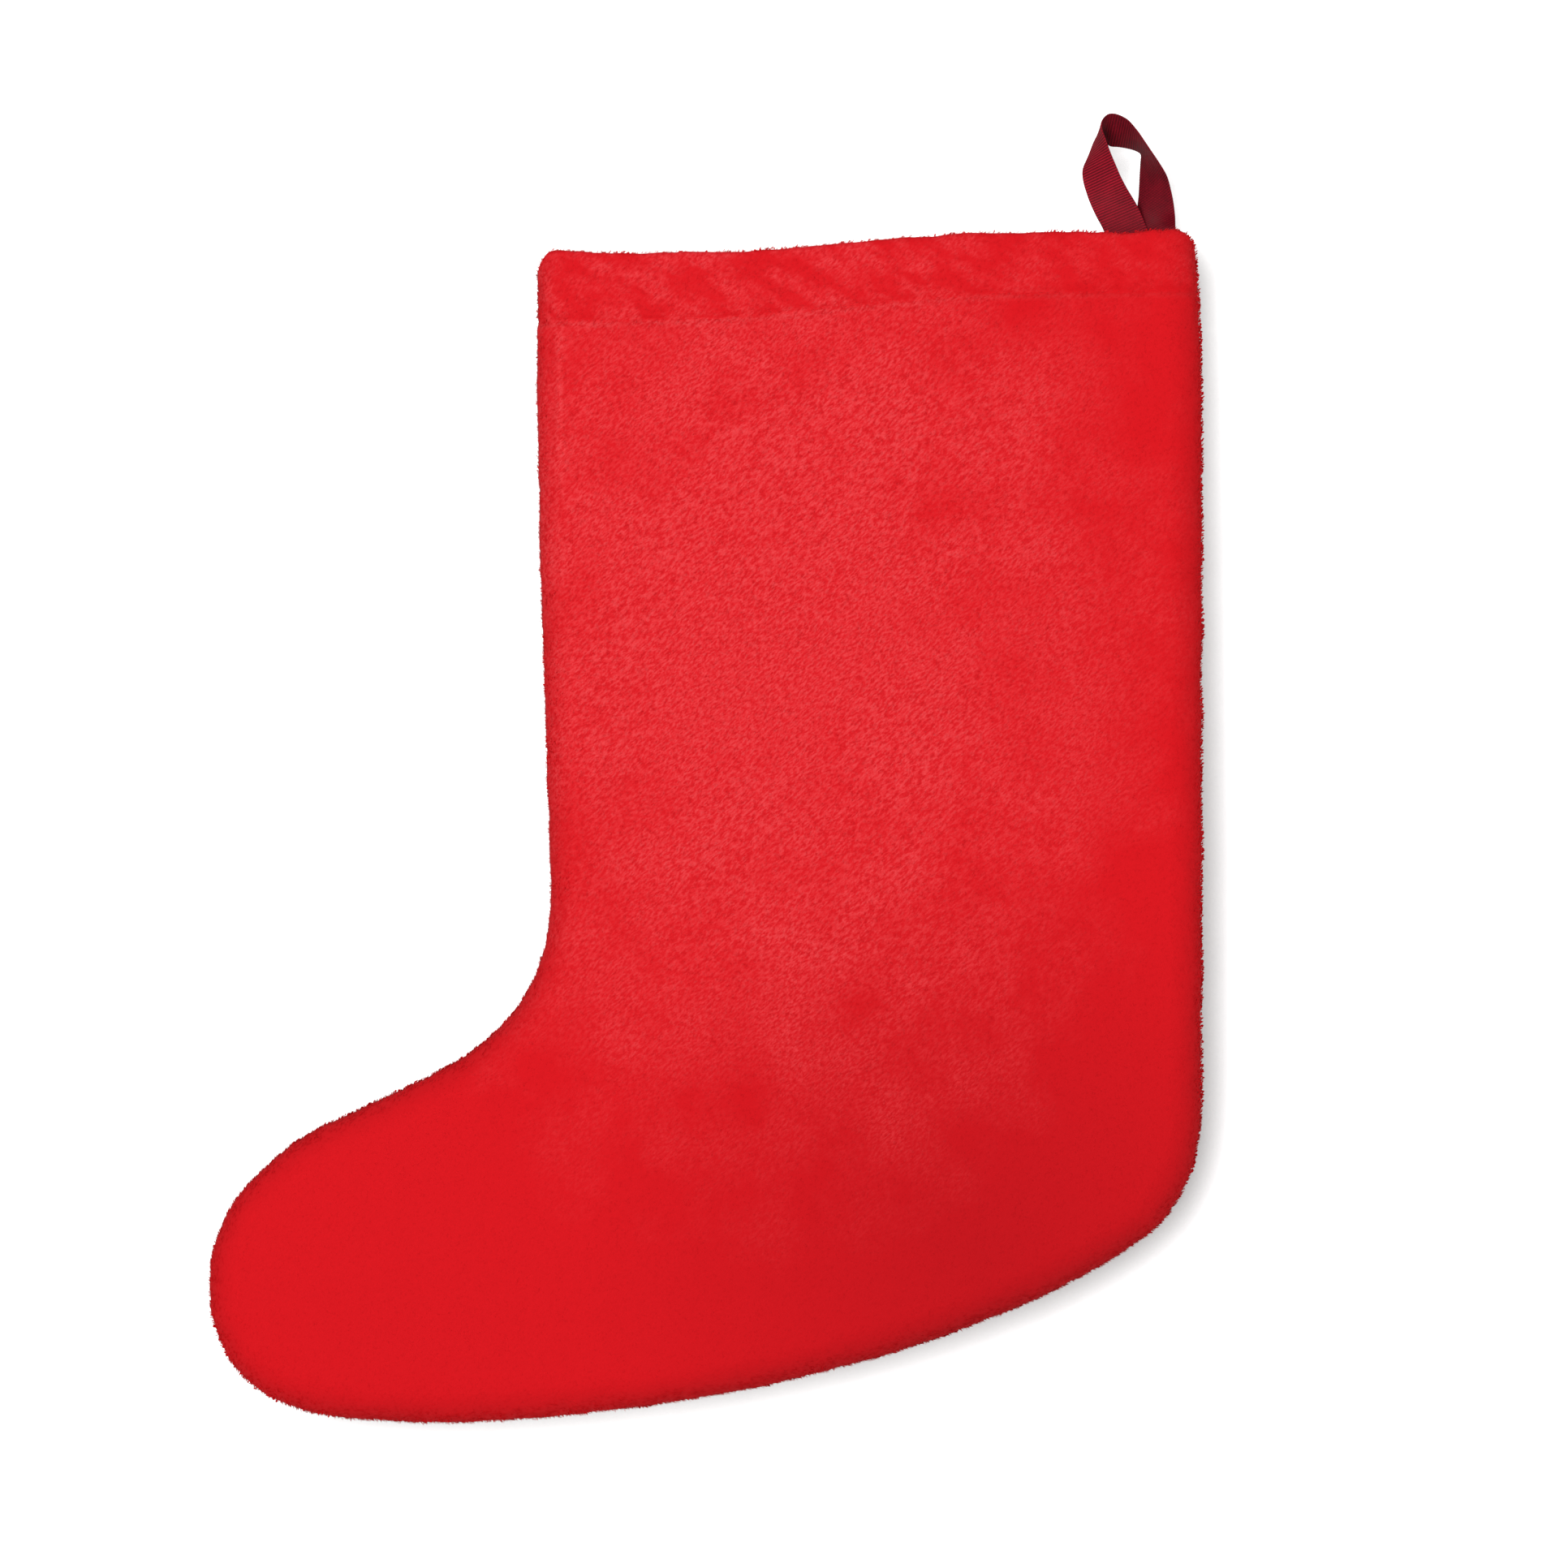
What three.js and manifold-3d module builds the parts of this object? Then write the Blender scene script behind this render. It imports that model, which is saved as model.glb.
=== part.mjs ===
// Plush hanging stocking: two sewn panels with a turned-in hem at the mouth, and a twisted ribbon loop.
// Millimetres, +Z up. X runs from the toe (-X) to the heel (+X), and the front panel faces -Y.
// The origin is where a hook bears on the inside of the ribbon loop.
import * as THREE from 'three';
import { mergeVertices } from 'three/addons/utils/BufferGeometryUtils.js';
import Module from 'manifold-3d';

const wasm = await Module();
wasm.setup();

// Driving dimensions
const PART_GAP = 0.3; // clearance kept between neighbouring pieces
const CLOTH = 2.2; // plush cloth, backing and flattened pile
const RIBBON_WIDTH = 15.9;
const RIBBON_THICKNESS = 0.7;
const THREAD_RADIUS = 0.4;

const SEAM_Y = -3.3; // plane in which the two panels are sewn together
const ALLOWANCE = 10; // seam allowance, from the outline to its cut edge
const ALLOWANCE_THICKNESS = 2;
const SEAM_STITCH_INSET = 4; // seam stitching, from the outline

const FRONT = { side: -1, roll: 14, depthAtRim: 12, depthAtSole: 18 };
const BACK = { side: 1, roll: 9, depthAtRim: 11, depthAtSole: 11 };

const RIM_LOW = -41.2; // rim height over the toe side
const RIM_HIGH = -33.4; // rim height over the heel side
const RIM_RISE = [-170, -40]; // the rim climbs between these x
const SOLE_Z = -488;
const STITCH_DROP_TOE_SIDE = 26; // hem stitching below the rim, at either side of the leg
const STITCH_DROP_HEEL_SIDE = 21.8;
const HEM_EDGE_DROP = 3; // cut edge of the hem, below its stitching
const LEG_TOE_SIDE_X = -225;
const LEG_HEEL_SIDE_X = 29.5;

const FOLD_Z = -31; // the ribbon hinges on this line, just above the rim
const FOLD_CLEARANCE = 0.8; // ribbon left out above and below the fold line
const LEG_OFFSET_Y = (RIBBON_THICKNESS + PART_GAP) / 2; // front leg of the loop at -y, rear leg at +y
const TAIL_END_Z = -53;

const { lerp, smoothstep } = THREE.MathUtils;

// Solids from geometries, and back

function solid(geometry) {
  const bare = geometry.clone();
  bare.deleteAttribute('normal');
  bare.deleteAttribute('uv');
  const merged = mergeVertices(bare, 1e-4);
  return new wasm.Manifold(new wasm.Mesh({
    numProp: 3,
    vertProperties: new Float32Array(merged.attributes.position.array),
    triVerts: new Uint32Array(merged.index.array),
  }));
}

function geometryOf(manifold) {
  const mesh = manifold.getMesh();
  const geometry = new THREE.BufferGeometry();
  geometry.setAttribute('position', new THREE.BufferAttribute(mesh.vertProperties, 3));
  geometry.setIndex(new THREE.BufferAttribute(mesh.triVerts, 1));
  geometry.computeVertexNormals();
  return geometry;
}

function fromRings(rings, capTriangles) {
  // A closed solid from rings of equally many points, with the same flat triangulation on both ends.
  const count = rings[0].length;
  const indices = [];
  for (let r = 0; r + 1 < rings.length; r++) {
    for (let k = 0; k < count; k++) {
      const next = (k + 1) % count;
      const a = r * count + k;
      const b = r * count + next;
      indices.push(a, b, b + count, a, b + count, a + count);
    }
  }
  const last = (rings.length - 1) * count;
  for (const [a, b, c] of capTriangles) {
    indices.push(a, c, b, last + a, last + b, last + c);
  }
  const geometry = new THREE.BufferGeometry().setFromPoints(rings.flat());
  geometry.setIndex(indices);
  const made = solid(geometry);
  if (made.volume() > 0) {
    return made;
  }
  for (let i = 0; i < indices.length; i += 3) {
    [indices[i], indices[i + 1]] = [indices[i + 1], indices[i]];
  }
  geometry.setIndex(indices);
  return solid(geometry);
}

// The outline of the stocking, as Vector2 (x, z)

function outlinePoints() {
  // Down the shin, over the instep, round the toe, along the sole, round the heel and up the back of the
  // leg. Both sides run on past the rim, where the mouth is cut later.
  const path = new THREE.Path();
  path.moveTo(-223, 0);
  path.bezierCurveTo(-227.5, -90, -222, -200, -219.6, -286);
  path.bezierCurveTo(-220, -337, -254, -352, -300, -371.5);
  path.bezierCurveTo(-327, -383.5, -350.6, -407, -350.6, -433);
  path.bezierCurveTo(-350.6, -474, -326, SOLE_Z, -269, SOLE_Z);
  path.bezierCurveTo(-185, SOLE_Z, -64, -467, 5, -419);
  path.bezierCurveTo(18, -410.5, LEG_HEEL_SIDE_X, -395, LEG_HEEL_SIDE_X, -365);
  path.lineTo(LEG_HEEL_SIDE_X, -110);
  path.bezierCurveTo(LEG_HEEL_SIDE_X, -75, 28, -45, 25, 0);
  const steps = [7, 9, 8, 8, 9, 8, 4, 5];
  return path.curves.flatMap((curve, i) => {
    const points = curve.getPoints(steps[i]);
    return i === 0 ? points : points.slice(1);
  });
}

const OUTLINE = outlinePoints();

function insetOutline(inset) {
  // The outline moved inwards. It is walked anticlockwise, so inwards is to the left of each edge.
  return OUTLINE.map((point, i) => {
    const before = OUTLINE[(i + OUTLINE.length - 1) % OUTLINE.length];
    const after = OUTLINE[(i + 1) % OUTLINE.length];
    const arriving = point.clone().sub(before).normalize();
    const leaving = after.clone().sub(point).normalize();
    const along = arriving.clone().add(leaving).normalize();
    const reach = inset / along.dot(leaving);
    return new THREE.Vector2(point.x - along.y * reach, point.y + along.x * reach);
  });
}

function edgeX(z, heelSide) {
  // Where the outline crosses this height, on the shin or on the back of the leg.
  const crossings = [];
  for (let i = 0; i + 1 < OUTLINE.length; i++) {
    const a = OUTLINE[i];
    const b = OUTLINE[i + 1];
    if ((a.y - z) * (b.y - z) <= 0 && a.y !== b.y) {
      crossings.push(lerp(a.x, b.x, (z - a.y) / (b.y - a.y)));
    }
  }
  return heelSide ? Math.max(...crossings) : Math.min(...crossings);
}

// Heights across the mouth

function rimZ(x) {
  return lerp(RIM_LOW, RIM_HIGH, smoothstep(x, ...RIM_RISE));
}

function stitchZ(x) {
  const across = (x - LEG_TOE_SIDE_X) / (LEG_HEEL_SIDE_X - LEG_TOE_SIDE_X);
  return rimZ(x) - lerp(STITCH_DROP_TOE_SIDE, STITCH_DROP_HEEL_SIDE, across);
}

function hemEdgeZ(x) {
  return stitchZ(x) - HEM_EDGE_DROP;
}

function below(heightAt) {
  // Everything under a line that runs across the leg.
  const span = [-400, 80];
  const floorZ = -600;
  const thickness = 120;
  const steps = 24;
  const shape = new THREE.Shape();
  shape.moveTo(span[0], floorZ);
  shape.lineTo(span[1], floorZ);
  for (let i = 0; i <= steps; i++) {
    const x = lerp(span[1], span[0], i / steps);
    shape.lineTo(x, heightAt(x));
  }
  const geometry = new THREE.ExtrudeGeometry(shape, { depth: thickness, bevelEnabled: false });
  geometry.translate(0, 0, -thickness / 2);
  geometry.rotateX(Math.PI / 2);
  return solid(geometry);
}

// Panels

function depthOf(panel, z) {
  return lerp(panel.depthAtRim, panel.depthAtSole, (z - RIM_HIGH) / (SOLE_Z - RIM_HIGH));
}

function ringAt(panel, inset, depthAt) {
  return insetOutline(inset).map((p) => {
    return new THREE.Vector3(p.x, SEAM_Y + panel.side * depthAt(p.y), p.y);
  });
}

const CAP = THREE.ShapeUtils.triangulateShape(OUTLINE, []);

function pillow(panel, inset, base) {
  // Half of a filled stocking: a rolled edge that rises from the seam plane to a flat face. An inset moves
  // the whole skin inwards, and base is where it starts, measured from the seam plane.
  const rollSteps = 6;
  const roll = panel.roll - inset;
  const rings = [ringAt(panel, inset, () => base)];
  for (let i = 1; i <= rollSteps; i++) {
    const angle = (i / rollSteps) * (Math.PI / 2);
    const depthAt = (z) => (depthOf(panel, z) - inset) * Math.sin(angle);
    rings.push(ringAt(panel, inset + roll * (1 - Math.cos(angle)), depthAt));
  }
  return fromRings(rings, CAP);
}

function slab(panel, inset, base, top) {
  return fromRings([ringAt(panel, inset, () => base), ringAt(panel, inset, () => top)], CAP);
}

function acrossMouth(panel, inset, heightAt, startDepth) {
  // A line round the inside or the outside of one panel's half of the mouth, from seam to seam.
  const rollSteps = 6;
  const middleSteps = 8;
  const toeX = edgeX(heightAt(LEG_TOE_SIDE_X), false) + inset;
  const heelX = edgeX(heightAt(LEG_HEEL_SIDE_X), true) - inset;
  const roll = panel.roll - inset;
  const corner = [];
  for (let i = 0; i < rollSteps; i++) {
    const angle = (i / rollSteps) * (Math.PI / 2);
    corner.push([roll * (1 - Math.cos(angle)), angle]);
  }
  const stations = corner.map(([run, angle]) => [toeX + run, angle]);
  for (let i = 0; i <= middleSteps; i++) {
    stations.push([lerp(toeX + roll, heelX - roll, i / middleSteps), Math.PI / 2]);
  }
  stations.push(...corner.reverse().map(([run, angle]) => [heelX - run, angle]));
  return stations.map(([x, angle]) => {
    const z = heightAt(x);
    const depth = Math.max(startDepth, (depthOf(panel, z) - inset) * Math.sin(angle));
    return new THREE.Vector3(x, SEAM_Y + panel.side * depth, z);
  });
}

function tube(points, radius, sides) {
  // A round tube with one ring of vertices at each of the points.
  const round = [];
  for (let i = 0; i < sides; i++) {
    const angle = (i / sides) * 2 * Math.PI;
    round.push(new THREE.Vector2(radius * Math.cos(angle), radius * Math.sin(angle)));
  }
  const section = new THREE.Shape(round);
  const extrudePath = new THREE.CatmullRomCurve3(points, false, 'centripetal');
  extrudePath.getPointAt = (u) => extrudePath.getPoint(u);
  extrudePath.getTangentAt = (u) => extrudePath.getTangent(u);
  const steps = points.length - 1;
  return new THREE.ExtrudeGeometry(section, { steps, bevelEnabled: false, extrudePath });
}

const HEM = 2 * CLOTH; // cloth and turned-in hem together
const FOLD_FULLNESS = 0.3; // how far the folded rim stands proud of the faces under it
const STITCH_GROOVE_RADIUS = 1;
const STITCH_INSET = 0.4; // hem stitching, sunk into the face of the cloth
const TACK_X = [6.2, 12.8];
const TACK_Z = [-46, -40];
const TACK_HOLE_RADIUS = THREAD_RADIUS + PART_GAP;

function panelSolid(panel) {
  const rimCut = below((x) => rimZ(x) - CLOTH);
  const skin = pillow(panel, 0, PART_GAP / 2).intersect(rimCut);
  const pocket = pillow(panel, CLOTH, -CLOTH).intersect(below(hemEdgeZ));
  const mouth = pillow(panel, HEM, -CLOTH);
  const foldLine = acrossMouth(panel, CLOTH, (x) => rimZ(x) - CLOTH, PART_GAP / 2);
  const ownSide = slab(panel, -CLOTH, PART_GAP / 2, 2 * panel.depthAtSole);
  const fold = solid(tube(foldLine, CLOTH + FOLD_FULLNESS, 8)).intersect(ownSide);
  const sewn = slab(panel, CLOTH / 2, PART_GAP / 2, ALLOWANCE_THICKNESS);
  const open = slab(panel, ALLOWANCE, -CLOTH, ALLOWANCE_THICKNESS + CLOTH);
  const allowance = sewn.subtract(open).intersect(rimCut);
  const groove = solid(tube(acrossMouth(panel, STITCH_INSET, stitchZ, 0), STITCH_GROOVE_RADIUS, 6));
  return skin.subtract(pocket).subtract(mouth).add(fold).add(allowance).subtract(groove);
}

// Stitching

function hemNeedleThread(panel) {
  const start = PART_GAP;
  return tube(acrossMouth(panel, STITCH_INSET, stitchZ, start), THREAD_RADIUS, 6);
}

function hemBobbinThread(panel) {
  const inset = HEM + 2 * PART_GAP + THREAD_RADIUS;
  const start = ALLOWANCE_THICKNESS + PART_GAP + THREAD_RADIUS;
  return tube(acrossMouth(panel, inset, stitchZ, start), THREAD_RADIUS, 6);
}

function seamThread(panel) {
  // Runs on the allowance, beside the wall of the pocket, from under the hem all the way round.
  const height = ALLOWANCE_THICKNESS + PART_GAP + THREAD_RADIUS;
  const points = ringAt(panel, SEAM_STITCH_INSET, () => height);
  return tube(points.filter((p) => p.z < hemEdgeZ(p.x) - CLOTH), THREAD_RADIUS, 6);
}

// Ribbon

const RIBBON_RUNGS = [
  // Near edge (x, z), then far edge (x, z), from the base of the front leg round to that of the rear leg.
  [8.8, -30.2, -8.3, -30.2],
  [5.3, -22.2, -11, -25.2],
  [0, -13.5, -14, -17.4],
  [-4.4, -4, -15.7, -8.8],
  [-7, 2.4, -13.2, -2.3],
  [-8.7, 7.4, -10.3, 4.2],
  [-8.4, 10.2, -8.9, 5.2],
  [-6.6, 12.4, -7.4, 3.2],
  [-3.8, 13, -5, 1.3],
  [0.7, 11, -2, 1],
  [4.6, 6.7, 2.2, 0.5],
  [7.6, 2.2, 5.2, -0.4],
  [10.6, -2.2, 6.9, -1.5],
  [13.5, -6.4, 6.8, -5.4],
  [16.3, -11, 6.4, -11],
  [18.4, -18.4, 5.9, -18],
  [19.5, -25, 5.1, -24.5],
  [19.9, -30.2, 4.4, -30.2],
];

function ribbonEdges() {
  // A rung is as long as the ribbon is wide, so what it lacks across x and z is its depth along y.
  const near = [];
  const far = [];
  const last = RIBBON_RUNGS.length - 1;
  RIBBON_RUNGS.forEach(([nearX, nearZ, farX, farZ], i) => {
    const seen = Math.hypot(nearX - farX, nearZ - farZ);
    const atBase = i === 0 || i === last;
    const reach = atBase ? 0 : Math.sqrt(Math.max(0, RIBBON_WIDTH ** 2 - seen ** 2)) / 2;
    const middle = lerp(-LEG_OFFSET_Y, LEG_OFFSET_Y, i / last);
    near.push(new THREE.Vector3(nearX, middle - reach, nearZ));
    far.push(new THREE.Vector3(farX, middle + reach, farZ));
  });
  return [near, far].map((points) => new THREE.CatmullRomCurve3(points, false, 'centripetal'));
}

function hangingLoop() {
  const steps = 51;
  const [near, far] = ribbonEdges();
  const sections = [];
  for (let i = 0; i <= steps; i++) {
    const t = i / steps;
    const a = near.getPoint(t);
    const b = far.getPoint(t);
    const along = near.getTangent(t).add(far.getTangent(t));
    const lift = a.clone().sub(b).cross(along).normalize().multiplyScalar(RIBBON_THICKNESS / 2);
    sections.push([a.clone().add(lift), b.clone().add(lift), b.clone().sub(lift), a.clone().sub(lift)]);
  }
  return fromRings(sections, [[0, 1, 2], [0, 2, 3]]);
}

function tailStrip(topX, endX, y) {
  // A sewn end of the ribbon: a flat strip that hangs inside the mouth, against the hem of the back panel.
  const shape = new THREE.Shape();
  const topZ = FOLD_Z - FOLD_CLEARANCE;
  shape.moveTo(topX[0], topZ);
  shape.lineTo(endX[0], TAIL_END_Z);
  shape.lineTo(endX[1], TAIL_END_Z);
  shape.lineTo(topX[1], topZ);
  const geometry = new THREE.ExtrudeGeometry(shape, { depth: RIBBON_THICKNESS, bevelEnabled: false });
  geometry.rotateX(Math.PI / 2);
  geometry.translate(0, y + RIBBON_THICKNESS / 2, 0);
  return solid(geometry);
}

function tackPoints() {
  // A zigzag on the face of the front tail, whose two ends go through both tails into the hem.
  const faceY = -LEG_OFFSET_Y - RIBBON_THICKNESS / 2 - PART_GAP - THREAD_RADIUS;
  const anchorY = SEAM_Y + BACK.depthAtRim - HEM + CLOTH / 2;
  const strokes = 6;
  const points = [];
  for (let i = 0; i <= strokes; i++) {
    points.push(new THREE.Vector3(lerp(...TACK_X, i / strokes), faceY, TACK_Z[i % 2]));
  }
  const first = points[0].clone().setY(anchorY);
  const last = points[strokes].clone().setY(anchorY);
  return [first, ...points, last];
}

function polylineTube(points, radius, sides) {
  // A tube with sharp corners, as a chain of straight tubes that overlap at round joints.
  let whole = null;
  const ball = () => solid(new THREE.SphereGeometry(radius, sides, sides / 2));
  for (let i = 0; i + 1 < points.length; i++) {
    const run = solid(tube([points[i], points[i + 1]], radius, sides));
    whole = whole ? whole.add(run) : run;
    if (i > 0) {
      whole = whole.add(ball().translate(points[i].toArray()));
    }
  }
  return whole;
}

// The pieces

const PLUSH = { color: 0xdd1b22, roughness: 0.95, metalness: 0 };
const GROSGRAIN = { color: 0x8c1826, roughness: 0.7, metalness: 0 };
const RED_THREAD = { color: 0xb5121c, roughness: 0.6, metalness: 0 };
const RIBBON_THREAD = { color: 0x74131f, roughness: 0.6, metalness: 0 };

const stocking = new THREE.Group();

function addPiece(name, geometry, look) {
  const mesh = new THREE.Mesh(geometry, new THREE.MeshStandardMaterial(look));
  mesh.name = name;
  stocking.add(mesh);
}

const tackHoles = polylineTube(tackPoints(), TACK_HOLE_RADIUS, 8);
const frontTail = tailStrip([-7.6, 9.5], [1.4, 18.5], -LEG_OFFSET_Y);
const rearTail = tailStrip([4.4, 19.9], [4.2, 20.1], LEG_OFFSET_Y);

addPiece('front_panel', geometryOf(panelSolid(FRONT)), PLUSH);
addPiece('back_panel', geometryOf(panelSolid(BACK).subtract(tackHoles)), PLUSH);
addPiece('side_seam_needle_thread', seamThread(FRONT), RED_THREAD);
addPiece('side_seam_bobbin_thread', seamThread(BACK), RED_THREAD);
addPiece('hem_needle_thread_front', hemNeedleThread(FRONT), RED_THREAD);
addPiece('hem_bobbin_thread_front', hemBobbinThread(FRONT), RED_THREAD);
addPiece('hem_needle_thread_back', hemNeedleThread(BACK), RED_THREAD);
addPiece('hem_bobbin_thread_back', hemBobbinThread(BACK), RED_THREAD);
addPiece('hanging_loop', geometryOf(hangingLoop()), GROSGRAIN);
addPiece('loop_tail_front', geometryOf(frontTail.subtract(tackHoles)), GROSGRAIN);
addPiece('loop_tail_rear', geometryOf(rearTail.subtract(tackHoles)), GROSGRAIN);
addPiece('loop_tack_thread', geometryOf(polylineTube(tackPoints(), THREAD_RADIUS, 6)), RIBBON_THREAD);

export default stocking;
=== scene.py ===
import math

import bpy
import numpy as np
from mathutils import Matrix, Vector, noise
from mathutils.geometry import delaunay_2d_cdt

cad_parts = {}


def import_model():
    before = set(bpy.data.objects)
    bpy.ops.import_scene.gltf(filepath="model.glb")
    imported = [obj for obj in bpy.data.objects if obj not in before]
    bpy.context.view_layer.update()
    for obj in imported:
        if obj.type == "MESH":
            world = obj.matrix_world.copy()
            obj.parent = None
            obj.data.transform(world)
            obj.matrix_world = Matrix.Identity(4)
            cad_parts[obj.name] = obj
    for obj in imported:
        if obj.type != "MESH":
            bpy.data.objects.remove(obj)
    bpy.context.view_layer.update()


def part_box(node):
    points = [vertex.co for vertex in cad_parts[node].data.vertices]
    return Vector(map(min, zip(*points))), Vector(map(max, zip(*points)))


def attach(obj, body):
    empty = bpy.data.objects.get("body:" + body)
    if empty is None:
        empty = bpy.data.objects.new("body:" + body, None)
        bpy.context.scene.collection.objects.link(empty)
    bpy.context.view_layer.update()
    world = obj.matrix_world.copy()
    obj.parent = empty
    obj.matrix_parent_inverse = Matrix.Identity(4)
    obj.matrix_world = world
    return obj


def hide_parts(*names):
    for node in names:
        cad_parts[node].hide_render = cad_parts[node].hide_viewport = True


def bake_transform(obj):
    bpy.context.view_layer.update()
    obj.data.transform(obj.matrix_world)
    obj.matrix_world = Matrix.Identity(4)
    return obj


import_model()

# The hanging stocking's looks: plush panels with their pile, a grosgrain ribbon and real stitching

MM = 0.001

# Places from the frame, in metres
(TOE_X, _, SOLE_Z), (HEEL_X, _, _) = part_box("front_panel")
BACK_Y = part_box("back_panel")[1][1]
SEAM_Y = -3.3 * MM  # plane in which the two panels are sewn together

# Cloth, in metres
CLOTH = 2.2 * MM  # plush cloth, backing and flattened pile
HEM = 2 * CLOTH
ALLOWANCE = 10 * MM
ALLOWANCE_THICKNESS = 2 * MM
HALF_GAP = 0.15 * MM  # from the seam plane to each panel
SEAM_STITCH_INSET = 4 * MM
PITCH = 2.0 * MM  # spacing of the vertices in the cloth
HEM_EDGE_DROP = 3 * MM

FRONT = {"name": "front", "side": -1, "roll": 14 * MM, "depth_at_rim": 12 * MM, "depth_at_sole": 18 * MM,
         "crown": 1.8 * MM, "seed": 3.7}
BACK = {"name": "back", "side": 1, "roll": 9 * MM, "depth_at_rim": 11 * MM, "depth_at_sole": 11 * MM,
        "crown": 0.4 * MM, "seed": 41.2}

RIM_LOW = -41.2 * MM
RIM_HIGH = -33.4 * MM
RIM_RISE = (-170 * MM, -40 * MM)
LEG_TOE_SIDE_X = -225 * MM
LEG_MIDDLE_X = -100 * MM
LEG_BOTTOM_Z = -200 * MM  # above it the outline is the two sides of the leg
STITCH_DROP = (26 * MM, 21.8 * MM)  # hem stitching below the rim, at the toe side and at the heel side


def lerp(a, b, t):
    return a + (b - a) * t


def smoothstep(x, low, high):
    t = np.clip((x - low) / (high - low), 0, 1)
    return t * t * (3 - 2 * t)


def bell(x, centre, width):
    return np.exp(-(((x - centre) / width) ** 2))


def rim_z(x):
    return lerp(RIM_LOW, RIM_HIGH, smoothstep(x, *RIM_RISE))


def stitch_z(x):
    return rim_z(x) - lerp(*STITCH_DROP, (x - LEG_TOE_SIDE_X) / (HEEL_X - LEG_TOE_SIDE_X))


def hem_edge_z(x):
    return stitch_z(x) - HEM_EDGE_DROP


def fold_start_z(x):
    return rim_z(x) - CLOTH


def depth_of(panel, z):
    """From the seam plane to the flat of this panel's face."""
    return lerp(panel["depth_at_rim"], panel["depth_at_sole"], (z - RIM_HIGH) / (SOLE_Z - RIM_HIGH))


def run_of(points):
    """How far along a path each of its points is."""
    return np.concatenate([[0], np.cumsum(np.linalg.norm(np.diff(points, axis=0), axis=1))])


def noise_at(scale_x, scale_z, seed, x, z):
    """Smooth noise from -1 to 1 over the face of a panel, in patches of these sizes in metres."""
    return np.array([noise.noise((a / scale_x, seed, b / scale_z)) for a, b in zip(x.ravel(), z.ravel())])


# The outline

OUTLINE_START = (-223, 0)  # above the rim, in mm like the curves
OUTLINE_CURVES = [  # two controls and an end each
    [(-227.5, -90), (-222, -200), (-219.6, -286)],
    [(-220, -337), (-254, -352), (-300, -371.5)],
    [(-327, -383.5), (TOE_X / MM, -407), (TOE_X / MM, -433)],
    [(TOE_X / MM, -474), (-326, SOLE_Z / MM), (-269, SOLE_Z / MM)],
    [(-185, SOLE_Z / MM), (-64, -467), (5, -419)],
    [(18, -410.5), (HEEL_X / MM, -395), (HEEL_X / MM, -365)],
    [(HEEL_X / MM, -280), (HEEL_X / MM, -195), (HEEL_X / MM, -110)],
    [(HEEL_X / MM, -75), (28, -45), (25, 0)],
]
CURVE_STEPS = 400
STITCH_PITCH = 0.7 * MM  # spacing of the outline's points where the hem's stitch line crosses
STITCH_REACH = 3 * MM


def outline():
    """Points (x, z) down the shin, round the toe, along the sole and up the back of the leg, and for each
    the direction inwards and the run from the first point."""
    start = np.array(OUTLINE_START) * MM
    t = np.linspace(0, 1, CURVE_STEPS, endpoint=False)[:, None]
    dense = []
    for controls in OUTLINE_CURVES:
        a, b, c = (np.array(p) * MM for p in controls)
        dense.append((1 - t) ** 3 * start + 3 * (1 - t) ** 2 * t * a + 3 * (1 - t) * t * t * b + t ** 3 * c)
        start = c
    dense = np.concatenate([*dense, [start]])
    dense = dense[dense[:, 1] < fold_start_z(dense[:, 0])]
    run = run_of(dense)
    by_stitching = np.exp(-(((dense[:, 1] - stitch_z(dense[:, 0])) / STITCH_REACH) ** 4))
    spacing = lerp(PITCH, STITCH_PITCH, by_stitching)
    count = np.concatenate([[0], np.cumsum(np.diff(run) / ((spacing[1:] + spacing[:-1]) / 2))])
    at = np.interp(np.linspace(0, count[-1], int(round(count[-1])) + 1), count, run)
    points = np.stack([np.interp(at, run, dense[:, 0]), np.interp(at, run, dense[:, 1])], axis=1)
    along = np.gradient(points, at, axis=0)
    along /= np.linalg.norm(along, axis=1)[:, None]
    return points, np.stack([-along[:, 1], along[:, 0]], axis=1), at


EDGE, INWARD, RUN = outline()


BATCH = 2000  # points compared with the outline at one time


def batches(points):
    return np.array_split(points, 1 + len(points) // BATCH)


def nearest_on_edge(points):
    """Each point's distance from the outline, and how far round it that is."""
    distance, run = [], []
    for some in batches(points):
        apart = np.linalg.norm(some[:, None] - EDGE[None], axis=2)
        nearest = apart.argmin(axis=1)
        distance.append(apart[np.arange(len(some)), nearest])
        run.append(RUN[nearest])
    return np.concatenate(distance), np.concatenate(run)


def inside(polygon, points):
    """True for the points inside a closed polygon."""
    a, b = polygon, np.roll(polygon, -1, axis=0)
    found = np.zeros(len(points), bool)
    for (ax, az), (bx, bz) in zip(a, b):
        if az != bz:
            crosses = (az > points[:, 1]) != (bz > points[:, 1])
            found ^= crosses & (points[:, 0] < ax + (points[:, 1] - az) * (bx - ax) / (bz - az))
    return found


# The cloth of one panel

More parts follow.
